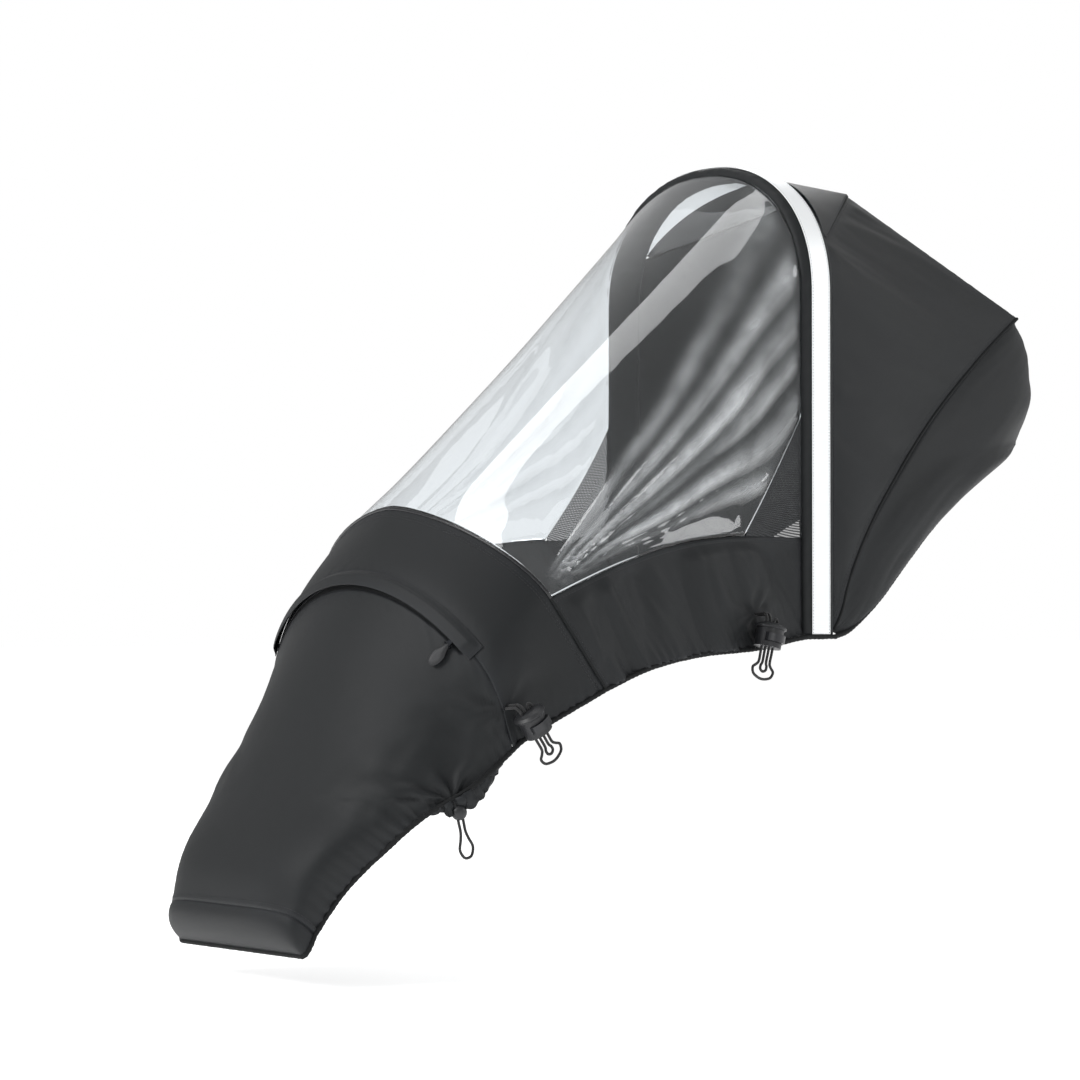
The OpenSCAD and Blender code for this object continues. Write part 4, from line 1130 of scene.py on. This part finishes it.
class COVER_OT_zip(bpy.types.Operator):
    """Makes the zip: tapes, teeth and rain flap, and finishes its slider and pull"""
    bl_idname = "cover.zip"
    bl_label = "Zip"

    def execute(self, context):
        s = context.scene.cover_sizes
        shape = Shape(s)
        end = shape.zip_end
        angles = np.linspace(math.pi / 2 - end, math.pi / 2 + end, 161)
        for name, side, reach in (("upper", -1, (-12, -0.6)), ("lower", 1, (0.6, 12))):
            below = np.linspace(*reach, 9)[:, None]
            grid = shape.zip_place(angles[None] + 0 * below, below + 0 * angles[None], -1.6)
            panel(f"sewn_zip_tape_{name}", f"zip_tape_{name}", grid, "tape", 0.7 * MM)
            self.teeth(shape, name, side)

        past, top_edge = math.radians(1), -12.5
        span = np.linspace(-past - end, end + past, 181)
        below = np.concatenate([np.linspace(top_edge, -7, 12), np.linspace(-6.4, 7, 20)])[:, None]
        tuck = ease((end + past - np.abs(span)) / math.radians(3.2))[None]
        height = 0.5 + tuck * (5.1 * ease((below - top_edge) / 8) - 0.3 * ease((below - 4) / 3))
        angles = math.pi / 2 - span[None]
        grid = shape.zip_place(angles + 0 * below, below + 0 * angles, height)[:, ::-1]
        panel("sewn_rain_flap", "zip_flap", grid, thickness=1.0 * MM)
        lines = [inset_line(grid, "first", 2.5), inset_line(grid, "last", 3)]
        stitched("flap_stitches", lines, s.stitch / MM * FINE)
        self.pull(shape)
        repaint("teeth", "zip_stops")
        repaint("slider", "zip_slider")
        return {"FINISHED"}

    def pull(self, shape):
        """A soft drop on the slider's pin, slim at the pin and full at its end, with a dished face"""
        angle, below, height = np.array(math.radians(50)), 13.0, 4.1
        origin = shape.zip_place(angle, below, height)
        down = unit(shape.zip_place(angle, below + 1, height) - origin)
        out = unit(shape.zip_place(angle, below, height + 1) - origin)
        turn = Matrix((down, np.cross(out, down), out)).transposed().to_4x4()
        turn.translation = Vector(origin * MM)
        middle, reach, slim, full, half_thick = 12.2, 14.2, 3.8, 7.4, 2.0
        bm = bmesh.new()
        bmesh.ops.create_uvsphere(bm, u_segments=48, v_segments=28, radius=1)
        for vert in bm.verts:
            x, y, z = vert.co
            round_end = max(1 - x * x, 0)
            along = middle + reach * x
            wide = mix(slim, full, ease((along - 2) / 12)) * power(round_end, 0.32)
            flat = math.hypot(y, z) or 1.0
            dish = 0.55 * ease(1 - math.hypot((along - 17) / 7, y / flat * 0.9))
            thick = half_thick * power(round_end, 0.35)
            vert.co = Vector((along, y / flat * wide, z / flat * thick - math.copysign(dish, z))) * MM
        bmesh.ops.transform(bm, matrix=turn, verts=bm.verts[:])
        piece = finished("zip_pull_drop", bm, finish_of("pull"))
        dressed(piece, "pull", "zip_pull", "zip_pull")

    def teeth(self, shape, name, side):
        """One row of teeth along the zip, half a pitch away from the other row's"""
        spacing, tooth, bevel, height = 3, (2.9, 1.35, 2.1), 0.3, -0.45
        pitch, end = spacing / shape.zip_r, shape.zip_end - math.radians(1.3)
        bm = bmesh.new()
        for k in range(int(2 * end / pitch)):
            a = np.array(math.pi / 2 - end + (k + (0.25 if side > 0 else 0.75)) * pitch)
            origin = shape.zip_place(a, 0.0, 0.0)
            x = unit(shape.zip_place(a, 1.0, 0.0) - origin)
            z = unit(shape.zip_place(a, 0.0, 1.0) - origin)
            turn = Matrix((x, np.cross(z, x), z)).transposed().to_4x4()
            turn.translation = Vector(shape.zip_place(a, side * 1.0, height) * MM)
            made = bmesh.ops.create_cube(bm, size=1, matrix=turn @ Matrix.Diagonal(
                (*(length * MM for length in tooth), 1)))
            edges = list({e for v in made["verts"] for e in v.link_edges})
            bmesh.ops.bevel(bm, geom=edges, offset=bevel * MM, offset_type="OFFSET", segments=1,
                            profile=0.5, affect="EDGES", material=-1)
        piece = finished(f"zip_teeth_{name}", bm, finish_of("teeth"))
        dressed(piece, "cover", "zip_teeth", f"zip_chain_{name}")


class COVER_OT_locks(bpy.types.Operator):
    """Finishes the cord locks, their buttons and springs, the balls and the eyelets"""
    bl_idname = "cover.locks"
    bl_label = "Cord locks"

    def execute(self, context):
        for side_name in SIDES:
            for lock in (f"rear_{side_name}", f"front_{side_name}"):
                repaint("plastic", f"lock_{lock}")
                repaint("button", f"button_{lock}")
                self.spring(lock, side_name)
            repaint("plastic", f"ball_{side_name}")
        repaint("plastic", "cord_eyelets")
        return {"FINISHED"}

    def spring(self, lock, side_name):
        """The coiled wire behind a button, made at its resting length only"""
        low, high = (np.array(p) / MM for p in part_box(f"spring_{lock}"))
        wire, coils, travel = 0.5, 2, 3.7
        middle, reach = (low + high) / 2, (high[1] - low[1] - wire) / 2
        turn = np.linspace(0, 2 * math.pi * coils, 30 * coils)
        path = np.stack([np.linspace(low[0] + wire / 2, high[0] - wire / 2, len(turn)),
                         middle[1] + reach * np.cos(turn), middle[2] + reach * np.sin(turn)], 1)
        grid = rings(path, wire / 2, 8, (1, 0, 0))
        piece = surface(f"coiled_spring_{lock}", grid, finish_of("spring"))
        dressed(piece, f"lock_{lock}", "spring", f"spring_{lock}")
        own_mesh(piece)


OPERATORS = (COVER_OT_stage, COVER_OT_cords, COVER_OT_leg_cover, COVER_OT_side_panels,
             COVER_OT_windows, COVER_OT_hood, COVER_OT_hoop, COVER_OT_bindings, COVER_OT_zip,
             COVER_OT_locks)


class COVER_PT_panel(bpy.types.Panel):
    """Lists the cover's sizes, colours and pieces"""
    bl_idname = "COVER_PT_panel"
    bl_label = "Weather cover"
    bl_space_type = "VIEW_3D"
    bl_region_type = "UI"
    bl_category = "Cover"

    def draw(self, context):
        layout = self.layout
        scene = context.scene
        for group in (scene.cover_sizes, scene.cover_colours, scene.cover_stage):
            column = layout.column()
            for name in group.__annotations__:
                column.prop(group, name)
        for operator in OPERATORS:
            layout.operator(operator.bl_idname)


CLASSES = (CoverSizes, CoverColours, CoverStage, *OPERATORS, COVER_PT_panel)


def register():
    for item in CLASSES:
        bpy.utils.register_class(item)
    bpy.types.Scene.cover_sizes = PointerProperty(type=CoverSizes)
    bpy.types.Scene.cover_colours = PointerProperty(type=CoverColours)
    bpy.types.Scene.cover_stage = PointerProperty(type=CoverStage)


def unregister():
    del bpy.types.Scene.cover_stage
    del bpy.types.Scene.cover_colours
    del bpy.types.Scene.cover_sizes
    for item in reversed(CLASSES):
        bpy.utils.unregister_class(item)


def main():
    register()
    for operator in OPERATORS:
        group, name = operator.bl_idname.split(".")
        getattr(getattr(bpy.ops, group), name)()
    bpy.context.view_layer.update()


if __name__ == "__main__":
    main()
